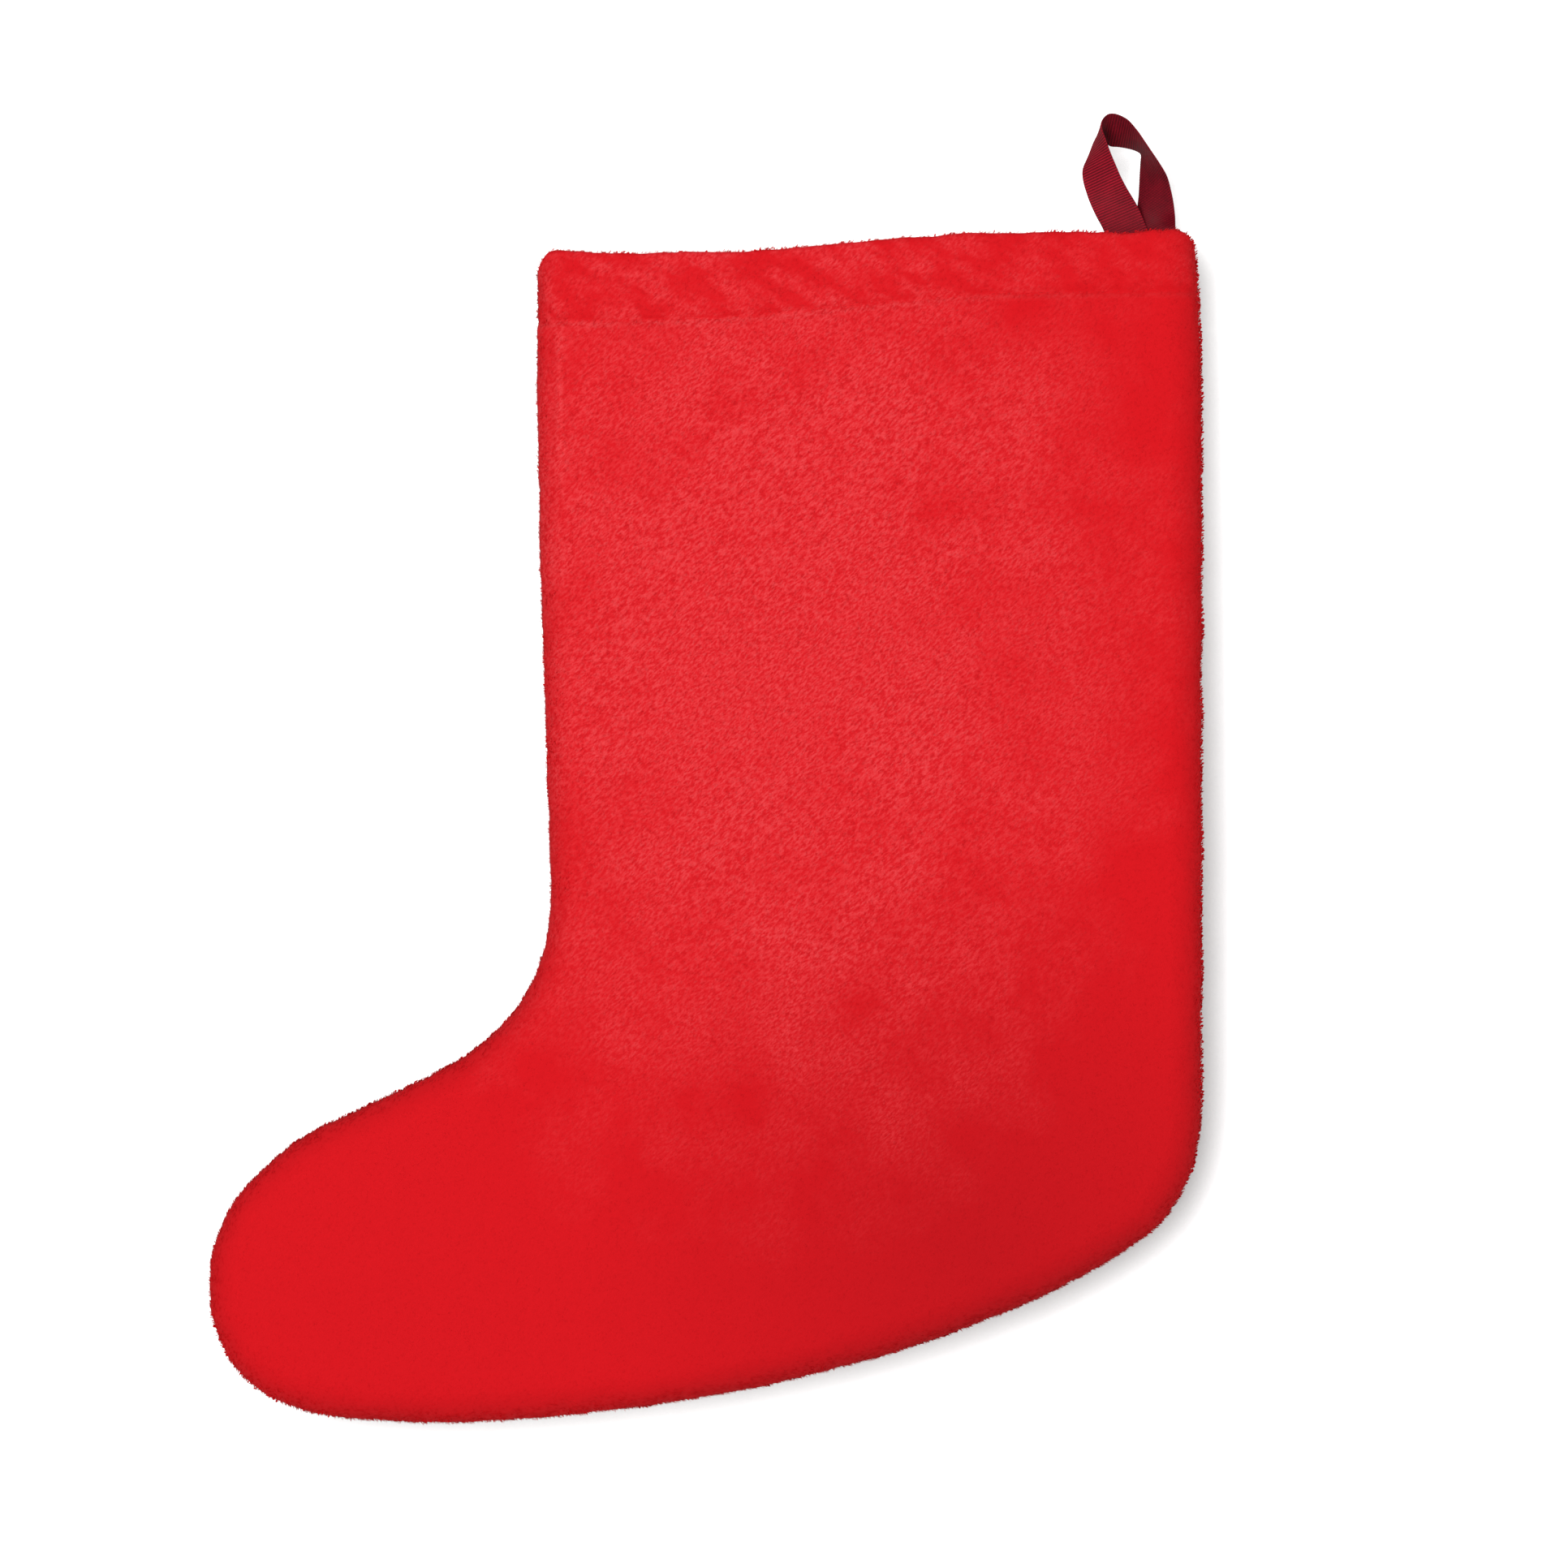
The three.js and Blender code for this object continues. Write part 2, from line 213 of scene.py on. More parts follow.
class Cloth:
    """A sheet with a plush face and a backing. Points are (x, z, depth), with depth measured from the seam
    plane, and outward is the way that each point's face looks."""

    def __init__(self):
        self.face, self.backing, self.outward, self.inset, self.run, self.part = [], [], [], [], [], []
        self.polygons = []
        self.count = 0

    def add(self, face, backing, outward, inset, run, part):
        first = self.count
        size = len(face)
        self.face.append(face)
        self.backing.append(backing)
        self.outward.append(outward)
        self.inset.append(np.broadcast_to(inset, size))
        self.run.append(np.broadcast_to(run, size))
        self.part.append(np.full(size, part))
        self.count += size
        return np.arange(first, first + size)

    def strip(self, a, b):
        """Quads between two rows of vertices."""
        self.polygons += [(a[k], a[k + 1], b[k + 1], b[k]) for k in range(len(a) - 1)]

    def joined(self):
        stacked = [np.concatenate(x) for x in (self.face, self.backing, self.outward)]
        return [*stacked, np.concatenate(self.inset), np.concatenate(self.run), np.concatenate(self.part)]


ALLOWANCE_PART, SKIN_PART, FOLD_PART, HEM_PART = range(4)
ALLOWANCE_INSETS = (ALLOWANCE, 8 * MM, 6 * MM, 4.4 * MM, 3.2 * MM)  # of the rows across the allowance
ROLL_CLEARANCE = 0.24 * MM  # between the inside of the roll and the allowance
ROLL_START = 0.27  # radians round the rolled edge, clear of the seam allowance
ROLL_ROWS = 12
FOLD_ROWS = 7
HEM_ROWS = 14
FOLD_FULLNESS = 0.3 * MM
FOLD_INSIDE = (0.1 * MM, 0.2 * MM)  # how far the fold's backing lies from its centre, inwards and up
LAYER_GAP = 0.2 * MM  # between layers of cloth that lie on each other
THINNEST_HEM = 0.9 * MM
STITCH_ROWS = (-2.4, -1.5, -0.75, 0, 0.75, 1.5, 2.4)  # rows of vertices beside the stitch line, in mm
STITCH_ROW_PITCH = 1.4 * MM
STITCH_ROW_CLEARANCE = 3.1 * MM
LATTICE_CLEARANCE = 0.62 * PITCH


def three(xz, depth):
    return np.column_stack([xz, np.broadcast_to(depth, len(xz))])


def band_rows(cloth, panel):
    """The seam allowance and the rolled edge, from the cut edge of the allowance to the flat of the face.
    Returns the rows from the seam on."""
    rows = []
    zero, one = np.zeros(len(EDGE)), np.ones(len(EDGE))
    turn = CLOTH + ROLL_CLEARANCE
    for inset in ALLOWANCE_INSETS:
        xz = EDGE + inset * INWARD
        rows.append(cloth.add(three(xz, HALF_GAP), three(xz, ALLOWANCE_THICKNESS),
                              np.column_stack([zero, zero, -one]), inset, RUN, ALLOWANCE_PART))
    rows.append(cloth.add(three(EDGE, HALF_GAP), three(EDGE + turn * INWARD, ALLOWANCE_THICKNESS),
                          np.column_stack([-INWARD, zero]), 0, RUN, SKIN_PART))
    seam = len(rows) - 1
    for angle in np.linspace(ROLL_START, math.pi / 2, ROLL_ROWS):
        c, s = math.cos(angle), math.sin(angle)
        inset = panel["roll"] * (1 - c)
        xz = EDGE + inset * INWARD
        back_xz = xz + CLOTH * c * INWARD
        depth = depth_of(panel, xz[:, 1])
        rows.append(cloth.add(three(xz, depth * s), three(back_xz, (depth - CLOTH) * s),
                              np.column_stack([-INWARD * c, one * s]), inset, RUN, SKIN_PART))
    for low, high in zip(rows, rows[1:]):
        cloth.strip(low, high)
    return rows[seam:]


def face_lattice(ring, top):
    """Points spread evenly over the flat of the face, with rows that follow the hem's stitch line."""
    low, high = ring.min(axis=0), ring.max(axis=0)
    height = PITCH * math.sqrt(3) / 2
    zs = np.arange(low[1], high[1], height)
    xs = np.arange(low[0], high[0], PITCH)
    x, z = np.meshgrid(xs, zs)
    x = x + np.where(np.arange(len(zs)) % 2, PITCH / 2, 0)[:, None]
    points = np.column_stack([x.ravel(), z.ravel()])
    points = points[np.abs(points[:, 1] - stitch_z(points[:, 0])) > STITCH_ROW_CLEARANCE]
    lines = []
    for k, offset in enumerate(STITCH_ROWS):
        line = np.arange(low[0] + (k % 2) * STITCH_ROW_PITCH / 2, high[0], STITCH_ROW_PITCH)
        lines.append(np.column_stack([line, stitch_z(line) + offset * MM]))
    points = np.concatenate([points, *lines])
    polygon = np.concatenate([ring, top])
    points = points[inside(polygon, points)]
    kept = []
    for some in batches(points):
        apart = np.linalg.norm(some[:, None] - polygon[None], axis=2).min(axis=1)
        kept.append(some[apart > LATTICE_CLEARANCE])
    return np.concatenate(kept)


def fill_face(cloth, panel, last_row):
    """The flat of the face inside the rolled edge. Returns its top row, from the toe side on."""
    ring = np.concatenate(cloth.face)[last_row][:, :2]
    right, left = ring[-1, 0], ring[0, 0]
    x = np.linspace(right, left, int((right - left) / PITCH))[1:-1]
    top = np.column_stack([x, fold_start_z(x)])
    points = face_lattice(ring, top)
    new = np.concatenate([top, points])
    inset, run = nearest_on_edge(new)
    depth = depth_of(panel, new[:, 1])
    outward = np.tile([0.0, 0.0, 1.0], (len(new), 1))
    indices = cloth.add(three(new, depth), three(new, depth - CLOTH), outward, inset, run, SKIN_PART)
    boundary = np.concatenate([last_row, indices[:len(top)]])
    everything = np.concatenate([boundary, indices[len(top):]])
    flat = np.concatenate([ring, new])
    loop = list(range(len(boundary)))
    out = delaunay_2d_cdt([Vector(p) for p in flat], [], [loop], 1, 1e-7)
    source = [sources[0] for sources in out[3]]
    cloth.polygons += [tuple(everything[source[v]] for v in polygon) for polygon in out[2]]
    return indices[:len(top)][::-1]


def turn_in_hem(cloth, panel, columns):
    """The rim, folded over inwards, and the hem down to its cut edge."""
    face, _, outward, inset, run, _ = cloth.joined()
    start, out = face[columns], outward[columns]
    inset, run = inset[columns], run[columns]
    up = np.array([0.0, 1.0, 0.0])
    centre = start - CLOTH * out
    rows = [columns]
    for angle in np.linspace(0, math.pi, FOLD_ROWS)[1:]:
        c, s = math.cos(angle), math.sin(angle)
        radius = CLOTH + FOLD_FULLNESS * s
        turned = centre + out * radius * c + up * radius * s
        behind = centre - out * FOLD_INSIDE[0] * (1 - c) + up * FOLD_INSIDE[1] * s
        way = out * c + up * s
        rows.append(cloth.add(turned, behind, way, inset, run, FOLD_PART))
    x, z = start[:, 0], start[:, 1]
    across = (x - x[0]) / (x[-1] - x[0])
    sine = out[:, 2]
    on_leg = EDGE[:, 1] > LEG_BOTTOM_Z
    toe_side = EDGE[:, 0] < LEG_MIDDLE_X
    for k in range(1, HEM_ROWS + 1):
        level = lerp(z, hem_edge_z(x), k / HEM_ROWS)
        shifts = []
        for side, corner in ((toe_side, 0), (~toe_side, -1)):
            leg = side & on_leg
            order = np.argsort(EDGE[leg, 1])
            edge_x = np.interp(level[corner], EDGE[leg, 1][order], EDGE[leg, 0][order])
            shifts.append(edge_x - x[corner])
        shift = lerp(*shifts, across)
        depth = depth_of(panel, level) * sine
        over = ALLOWANCE_THICKNESS + LAYER_GAP  # the hem lies on the seam allowance
        outer = np.column_stack([x + shift, level, depth])
        turned = outer - HEM * out
        behind = outer - (CLOTH + LAYER_GAP) * out
        turned[:, 2] = np.maximum(turned[:, 2], over + THINNEST_HEM)
        behind[:, 2] = np.maximum(behind[:, 2], over)
        rows.append(cloth.add(turned, behind, -out, inset, run, HEM_PART))
    for low, high in zip(rows, rows[1:]):
        cloth.strip(low, high)


# How the cloth lies

STITCH_GROOVE = 0.9 * MM
GROOVE_WIDTH = 1.3 * MM
CORNER_RADIUS = 4.5 * MM  # at either end of the rim
CORNER_DROP = 5 * MM
TOE_CORNER = (1.9 * MM, -217 * MM, 9 * MM)  # a rise in the rim: its height, its middle and its width
RIBBON_HUMP = (2.2 * MM, 17.5 * MM, 7.5 * MM)
RIDGE_INSET = 8.6 * MM
RIDGE_WIDTH = 1.3 * MM
RIDGE_HEIGHT = 0.6 * MM
SHIN = EDGE[(EDGE[:, 0] < -0.2) & (EDGE[:, 1] > LEG_BOTTOM_Z)]  # from the rim down

# Unevenness: its height, and how far apart its patches are across and down
FOLDS = (0.9 * MM, 70 * MM, 150 * MM)
SMALL_FOLDS = (0.4 * MM, 26 * MM, 60 * MM)
SOLE_BANDS = (0.32 * MM, 11 * MM, 70 * MM)
SWAY = (0.55 * MM, 19 * MM, 1)
SMALL_SWAY = (0.4 * MM, 5 * MM, 1)
RIM_WAVE = (0.6 * MM, 22 * MM, 1)
SMALL_RIM_WAVE = (0.4 * MM, 6 * MM, 1)
CLUMPS = (0.2 * MM, 6.5 * MM, 3.4 * MM)
SMALL_CLUMPS = (0.12 * MM, 3.6 * MM, 2.2 * MM)


def uneven(height, across, down, seed, x, z):
    return height * noise_at(across, down, seed, x, z)


def shin_ridge(x, z):
    """The cut edge of the seam allowance shows through the shin as a low ridge, from 0 to 1."""
    inset = x - np.interp(-z, -SHIN[:, 1], SHIN[:, 0])
    below_stitch = stitch_z(x) - z
    ends = smoothstep(below_stitch, -4 * MM, 6 * MM) * (1 - smoothstep(below_stitch, 44 * MM, 75 * MM))
    return bell(inset, RIDGE_INSET, RIDGE_WIDTH) * ends


def form(panel, x, z, inset, run):
    """How far the cloth of the panel stands out from its plain shape, in soft rolls and puckers."""
    seed = panel["seed"]
    drop = np.clip((rim_z(x) - z) / (60 * MM), 0, 1)
    crown = panel["crown"] * smoothstep(inset, 4 * MM, 75 * MM) * lerp(0.3, 1, drop)
    foot = smoothstep(-z, 330 * MM, 400 * MM)
    folds = uneven(*FOLDS, seed, x, z) + uneven(*SMALL_FOLDS, seed + 5, x, z)
    bands = uneven(*SOLE_BANDS, seed + 9, x, z) * foot
    away = smoothstep(inset, 2 * MM, 16 * MM)
    pucker = noise_at(10.5 * MM, 1, seed + 13, run, z) + 0.6 * noise_at(5 * MM, 1, seed + 17, run, z)
    pucker *= 0.42 * MM * bell(inset, 7 * MM, 11 * MM)
    return crown + (folds + bands) * away + pucker + RIDGE_HEIGHT * shin_ridge(x, z)


def sway(run):
    """How far the seam wanders outwards, the same for both panels."""
    return uneven(*SWAY, 61.3, run, run) + uneven(*SMALL_SWAY, 67.9, run, run)


def rim_lift(panel, x, z, inset):
    """The rim rises and falls, is rounded at its two corners, and is pushed up where the ribbon goes in."""
    near_rim = smoothstep(z, rim_z(x) - 26 * MM, rim_z(x) - 4 * MM)
    wave = uneven(*RIM_WAVE, panel["seed"] + 51, x, x) + uneven(*SMALL_RIM_WAVE, panel["seed"] + 57, x, x)
    height, middle, width = TOE_CORNER
    rise = height * bell(x, middle, width)
    if panel is FRONT:
        height, middle, width = RIBBON_HUMP
        rise += height * bell(x, middle, width)
    rounding = CORNER_DROP * np.clip(1 - inset / CORNER_RADIUS, 0, 1) ** 2
    return near_rim * (wave + rise - rounding)


def hem_relief(x, z, seed):
    """Fullness of the hem and the cloth under it, and the puckers and the groove of its stitching."""
    above = z - stitch_z(x)
    rise = np.clip(above / (rim_z(x) - CLOTH - stitch_z(x)), 0, 1)
    puff = 0.8 * MM * (1 - bell(above, 0, 3.5 * MM)) * (above > 0) * (1 - rise ** 4)
    under = 0.8 * MM * (1 - bell(above, 0, 2.5 * MM)) * (above <= 0) * np.exp(above / (12 * MM))
    ripple = noise_at(7 * MM, 1, seed + 21, x, z) + 0.7 * noise_at(3.6 * MM, 1, seed + 25, x, z)
    ripple *= 0.34 * MM * bell(np.abs(above), 3 * MM, 4 * MM)
    return puff + under + ripple, bell(above, 0, GROOVE_WIDTH)


def pile_relief(x, z, seed):
    """Clumps of pile, brushed upwards to the right."""
    along, across = (x + z) / math.sqrt(2), (x - z) / math.sqrt(2)
    return uneven(*CLUMPS, seed + 31, along, across) + uneven(*SMALL_CLUMPS, seed + 37, along, across)


def world(panel, points):
    """(x, z, depth) as (x, y, z)."""
    return np.column_stack([points[:, 0], SEAM_Y + panel["side"] * points[:, 2], points[:, 1]])


def lie(panel, cloth):
    """The face and the backing of the cloth as it lies."""
    face, backing, outward, inset, run, part = cloth.joined()
    x, z = face[:, 0], face[:, 1]
    moves = form(panel, x, z, inset, run) * (part != ALLOWANCE_PART)
    moves *= smoothstep(inset, 0, 3 * MM)
    relief, groove = hem_relief(x, z, panel["seed"])
    relief *= smoothstep(inset, 0, 4 * MM)
    pile = pile_relief(x, z, panel["seed"])
    skin, fold, hem = part == SKIN_PART, part == FOLD_PART, part == HEM_PART
    seamed = smoothstep(inset, -1 * MM, 2 * MM)
    face_out = np.where(skin, relief - STITCH_GROOVE * groove * seamed + pile * seamed, 0)
    face_out += np.where(fold, pile, 0) + np.where(hem, 0.6 * pile - 0.8 * MM * groove, 0)
    backing_out = np.where(skin, relief - 0.35 * MM * groove, 0)
    # the hem looks inwards, so what moves the panel out moves the hem against its own outward
    carried = np.where(hem, -1, np.where(fold, outward[:, 2], 1))
    in_plane = outward * np.array([1.0, 1.0, 0.0]) * (sway(run) * carried)[:, None]
    in_plane[:, 1] += rim_lift(panel, x, z, inset) * (part != ALLOWANCE_PART)
    face = face + outward * (moves * carried + face_out)[:, None] + in_plane
    backing = backing + outward * (moves * carried + backing_out)[:, None] + in_plane
    return world(panel, face), world(panel, backing), part


def walls(polygons, count):
    """Quads that close the edge of a sheet, between each face vertex and its backing."""
    used = dict.fromkeys(edge for polygon in polygons for edge in zip(polygon, polygon[1:] + polygon[:1]))
    return [(b, a, a + count, b + count) for a, b in used if (b, a) not in used]


def mesh_object(name, points, polygons, body="stocking"):
    mesh = bpy.data.meshes.new(name)
    mesh.from_pydata([tuple(p) for p in points], [], [tuple(int(i) for i in q) for q in polygons])
    mesh.update()
    mesh.shade_smooth()
    made = bpy.data.objects.new(name, mesh)
    bpy.context.collection.objects.link(made)
    if body:
        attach(made, body)
    return made


HEM_SPAN = 10 * MM
# how much painted sheen the shin's ridge gets
RIDGE_SHEEN = 0.8


def note(made, name, values):
    made.data.attributes.new(name, "FLOAT", "POINT").data.foreach_set("value", values.astype(np.float32))


def note_lines(made):
    """Attributes for the looks: where a vertex is across the hem's stitch line, and how much painted sheen it
    gets on the shin's ridge.
    """
    points = np.empty(len(made.data.vertices) * 3)
    made.data.vertices.foreach_get("co", points)
    x, z = points[0::3], points[2::3]
    above = np.clip((z - stitch_z(x)) / HEM_SPAN, -1, 1) / 2 + 0.5
    note(made, "hem", above)
    note(made, "ridge", RIDGE_SHEEN * shin_ridge(x, z))


def panel_object(panel):
    cloth = Cloth()
    rows = band_rows(cloth, panel)
    top = fill_face(cloth, panel, rows[-1])
    columns = np.concatenate([[r[0] for r in rows], top, [r[-1] for r in rows[::-1]]]).astype(int)
    turn_in_hem(cloth, panel, columns)
    face, backing, part = lie(panel, cloth)
    count = len(face)
    sheet = [tuple(int(i) for i in p) for p in cloth.polygons]
    polygons = sheet + [tuple(i + count for i in p[::-1]) for p in sheet] + walls(sheet, count)
    if panel["side"] > 0:
        polygons = [p[::-1] for p in polygons]
    name = panel["name"] + "_panel_plush"
    made = mesh_object(name, np.concatenate([face, backing]), polygons)
    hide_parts(panel["name"] + "_panel")
    note_lines(made)
    shown = [k for k, p in enumerate(sheet) if all(part[i] != ALLOWANCE_PART for i in p)]
    return made, len(sheet), shown


# Pile

TUFT_LENGTH = (1.2 * MM, 2.1 * MM)
TUFT_WIDTH = (0.5 * MM, 0.95 * MM)
TUFT_HEIGHT = 0.3 * MM
TUFT_SHOULDER = 0.8  # how far along a tuft it is widest
ROOT_DEPTH = 0.12 * MM
TUFT_FACES = np.array([[0, 1, 2], [0, 3, 1], [0, 2, 3], [1, 3, 2]])  # root, two shoulders and tip
EDGE_DENSITY = 2.6  # of the pile round the edges, as a multiple of that on the face
EDGE_TO_FACE = (0.25, 0.8)  # how squarely the cloth looks forwards or backwards, from its edges to its face
NAP = np.array([0.72, 0.0, 0.62])  # the pile is brushed upwards to the right
SWIRL_SIZE = 16 * MM
# The pile is brushed up most round this spot over the upper leg, and the plush material paints a highlight
# round it too
BRUSHED_AND_HIGHLIGHT_X, BRUSHED_Z = -0.135, -0.16
BRUSHED_AND_HIGHLIGHT_REACH = (0.19, 0.27)


def brushed_up(x, z):
    """From 1 where the pile is brushed up most, over the upper leg, to 0 where it lies smooth."""
    away = np.hypot((x - BRUSHED_AND_HIGHLIGHT_X) / BRUSHED_AND_HIGHLIGHT_REACH[0], (z - BRUSHED_Z) / BRUSHED_AND_HIGHLIGHT_REACH[1])
    return 1 - smoothstep(away, 0.3, 1.15)


def scattered(points, normals, triangles, count, rng):
    """Places spread over the triangles, closer where the cloth turns away at the edges, and the way out of
    the cloth at each."""
    a, b, c = (points[triangles[:, i]] for i in range(3))
    cross = np.cross(b - a, c - a)
    area = np.linalg.norm(cross, axis=1)
    weight = area * lerp(EDGE_DENSITY, 1, smoothstep(np.abs(cross[:, 1]) / area, *EDGE_TO_FACE))
    chosen = triangles[rng.choice(len(triangles), count, p=weight / weight.sum())]
    u, v = rng.random(count), rng.random(count)
    over = u + v > 1
    u, v = np.where(over, 1 - u, u), np.where(over, 1 - v, v)
    weights = np.stack([1 - u - v, u, v], axis=1)[:, :, None]
    up = (normals[chosen] * weights).sum(axis=1)
    return (points[chosen] * weights).sum(axis=1), up / np.linalg.norm(up, axis=1)[:, None]


def pile_object(panel, cloth_object, faces, count, seed):
    """Locks of pile as blunt leaves that lie along the nap, rooted in the face of the cloth."""
    rng = np.random.default_rng(seed)
    mesh = cloth_object.data
    points = np.empty(len(mesh.vertices) * 3)
    mesh.vertices.foreach_get("co", points)
    normals = np.empty(len(mesh.vertices) * 3)
    mesh.vertices.foreach_get("normal", normals)
    triangles = []
    for k in faces:
        v = mesh.polygons[k].vertices
        triangles += [(v[0], v[i], v[i + 1]) for i in range(1, len(v) - 1)]
    root, up = scattered(points.reshape(-1, 3), normals.reshape(-1, 3), np.array(triangles), count, rng)
    swirl = noise_at(SWIRL_SIZE, SWIRL_SIZE, seed, root[:, 0], root[:, 2]) * 0.9 + rng.normal(0, 0.28, count)
    c, s = np.cos(swirl), np.sin(swirl)
    lean = np.column_stack([NAP[0] * c - NAP[2] * s, np.zeros(count), NAP[0] * s + NAP[2] * c])
    lean -= (lean * up).sum(axis=1)[:, None] * up
    lean /= np.linalg.norm(lean, axis=1)[:, None] + 1e-9
    side = np.cross(lean, up)
    edgewise = 1 - smoothstep(np.abs(up[:, 1]), *EDGE_TO_FACE)[:, None]  # pile stands up more round the edges
    rough = np.maximum(brushed_up(root[:, 0], root[:, 2])[:, None], edgewise)
    length = rng.uniform(*TUFT_LENGTH, count)[:, None] * (1 - 0.3 * edgewise)
    width = rng.uniform(*TUFT_WIDTH, count)[:, None]
    height = TUFT_HEIGHT * rng.uniform(0.6, 1.3, count)[:, None] * lerp(0.55, 1, rough)
    lifted = rng.uniform(0.02, 0.16, count)[:, None] * rough + 0.8 * edgewise * rng.random((count, 1)) ** 0.7
    flat = np.sqrt(1 - lifted ** 2)
    reach = (lean * flat + up * lifted) * length
    shoulder = root + reach * TUFT_SHOULDER
    corners = np.stack([
        root - up * ROOT_DEPTH,
        shoulder - side * width / 2,
        shoulder + side * width / 2,
        root + reach + up * height,
    ], axis=1).reshape(-1, 3)
    faces = (np.arange(count)[:, None, None] * 4 + TUFT_FACES).reshape(-1, 3)
    made = mesh_object(panel["name"] + "_panel_pile", corners, faces)
    # pile scatters light, so a lock is lit much as the cloth under it is, and never edge-on
    outwards = np.array([0.0, panel["side"], 0.0])
    lit = up + 0.45 * edgewise * outwards
    ways = np.stack([lit, lit - 0.3 * side, lit + 0.3 * side, lit + 0.2 * lean], axis=1)
    under = np.stack([lean - up - 0.5 * side, lean - up + 0.5 * side], axis=1) + 0.8 * outwards
    ways = np.concatenate([ways, under], axis=1)
    ways /= np.linalg.norm(ways, axis=2)[:, :, None]
    corners_of = [4, 4, 5, 0, 3, 1, 0, 2, 3, 4, 4, 5]  # which of the ways each corner of the four faces takes
    made.data.normals_split_custom_set(ways[:, corners_of].reshape(-1, 3).tolist())
    note_lines(made)
    return made


# Stitching

def tube(name, path, radius, sides):
    """A closed round tube along a path, with a ring at each of its points."""
    path = np.asarray(path, float)
    along = np.gradient(path, axis=0)
    along /= np.linalg.norm(along, axis=1)[:, None]
    normal = np.cross(along[0], (0.0, 0.0, 1.0))
    if np.linalg.norm(normal) < 0.1:
        normal = np.cross(along[0], (1.0, 0.0, 0.0))
    rings = []
    for point, way in zip(path, along):
        normal = normal - way * (normal @ way)
        normal /= np.linalg.norm(normal)
        other = np.cross(way, normal)
        angles = np.arange(sides) / sides * 2 * math.pi
        rings.append(point + radius * (np.cos(angles)[:, None] * normal + np.sin(angles)[:, None] * other))
    points = np.concatenate(rings)
    polygons = []
    for r in range(len(path) - 1):
        for k in range(sides):
            n = (k + 1) % sides
            polygons.append((r * sides + k, r * sides + n, (r + 1) * sides + n, (r + 1) * sides + k))
    last = (len(path) - 1) * sides
    polygons += [tuple(range(sides))[::-1], tuple(range(last, last + sides))]
    return mesh_object(name, points, polygons)


STITCH_LENGTH = 3 * MM
THREAD_STEP = 0.3 * MM
STITCH_SINK = 0.66 * MM  # the pile closes over the stitches
HEM_THREADS = (("needle", 0.0, 0.5 * MM, 1), ("bobbin", HEM, 3.2 * MM, -1))  # inset, least depth, side
MOUTH_POINTS = 200
CORNER_POINTS = 24
RIM_POINTS = 40  # points of the outline from the rim down past the hem's stitching


def stitched(points, out, lift, dip):
    """A thread that stands lift proud of its path in each stitch, and dips into the cloth between them."""
    run = run_of(points)
    at = np.linspace(0, run[-1], int(run[-1] / THREAD_STEP) + 1)
    line = np.stack([np.interp(at, run, points[:, i]) for i in range(3)], axis=1)
    ways = np.stack([np.interp(np.linspace(0, 1, len(at)), np.linspace(0, 1, len(out)), out[:, i])
                     for i in range(3)], axis=1)
    wave = np.abs(np.sin(math.pi * at / STITCH_LENGTH)) ** 0.45
    return line + ways * lerp(-dip, lift, wave)[:, None]


def mouth_line(panel, inset, start_depth):
    """The hem's stitch line round one panel's half of the mouth, as (x, z, depth), and the ways out."""
    roll = panel["roll"] - inset
    middle = len(EDGE) // 2
    toe, heel = (side[np.abs(side[:, 1] - stitch_z(side[:, 0])).argmin(), 0]
                 for side in (EDGE[:middle], EDGE[middle:]))
    angles = np.linspace(0, math.pi / 2, CORNER_POINTS)
    corner = inset + roll * (1 - np.cos(angles))
    flat = np.linspace(toe + inset + roll, heel - inset - roll, MOUTH_POINTS)[1:-1]
    x = np.concatenate([toe + corner, flat, (heel - corner)[::-1]])
    angle = np.concatenate([angles, np.full(len(flat), math.pi / 2), angles[::-1]])
    z = stitch_z(x)
    depth = np.maximum(start_depth, (depth_of(panel, z) - inset) * np.sin(angle))
    sideways = np.concatenate([-np.cos(angles), np.zeros(len(flat)), np.cos(angles[::-1])])
    return np.column_stack([x, z, depth]), np.column_stack([sideways, np.zeros(len(x)), np.sin(angle)])


def hem_threads(panel):
    made = []
    for kind, inset, least_depth, facing in HEM_THREADS:
        line, out = mouth_line(panel, inset, least_depth)
        x, z = line[:, 0], line[:, 1]
        from_side = np.minimum(x - x[0], x[-1] - x)
        run = np.interp(x, EDGE[:RIM_POINTS, 0][::-1], RUN[:RIM_POINTS][::-1])
        moved = form(panel, x, z, from_side, run) * smoothstep(from_side, 0, 3 * MM)
        if kind == "needle":
            moved += hem_relief(x, z, panel["seed"])[0] * smoothstep(from_side, 0, 4 * MM)
            moved -= STITCH_GROOVE + STITCH_SINK
        else:
            moved += 0.8 * MM
        path = world(panel, line + out * moved[:, None])
        ways = world(panel, out * facing) - [0, SEAM_Y, 0]
        name = f"hem_{kind}_stitches_{panel['name']}"
        thread = tube(name, stitched(path, ways, 0.35 * MM, 0.45 * MM), 0.34 * MM, 8)
        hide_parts(f"hem_{kind}_thread_{panel['name']}")
        made.append(thread)
    return made


def seam_thread(panel, kind):
    """The side seam's stitches, on the allowance, from under the hem all the way round."""
    xz = EDGE + SEAM_STITCH_INSET * INWARD
    xz = xz[xz[:, 1] < hem_edge_z(xz[:, 0]) - CLOTH]
    line = three(xz, ALLOWANCE_THICKNESS + 0.25 * MM)
    out = world(panel, np.tile([0.0, 0.0, 1.0], (len(line), 1))) - [0, SEAM_Y, 0]
    path = stitched(world(panel, line), out, 0.2 * MM, 0.35 * MM)
    thread = tube(f"side_seam_{kind}_stitches", path, 0.32 * MM, 6)
    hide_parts(f"side_seam_{kind}_thread")
    return thread


# Ribbon

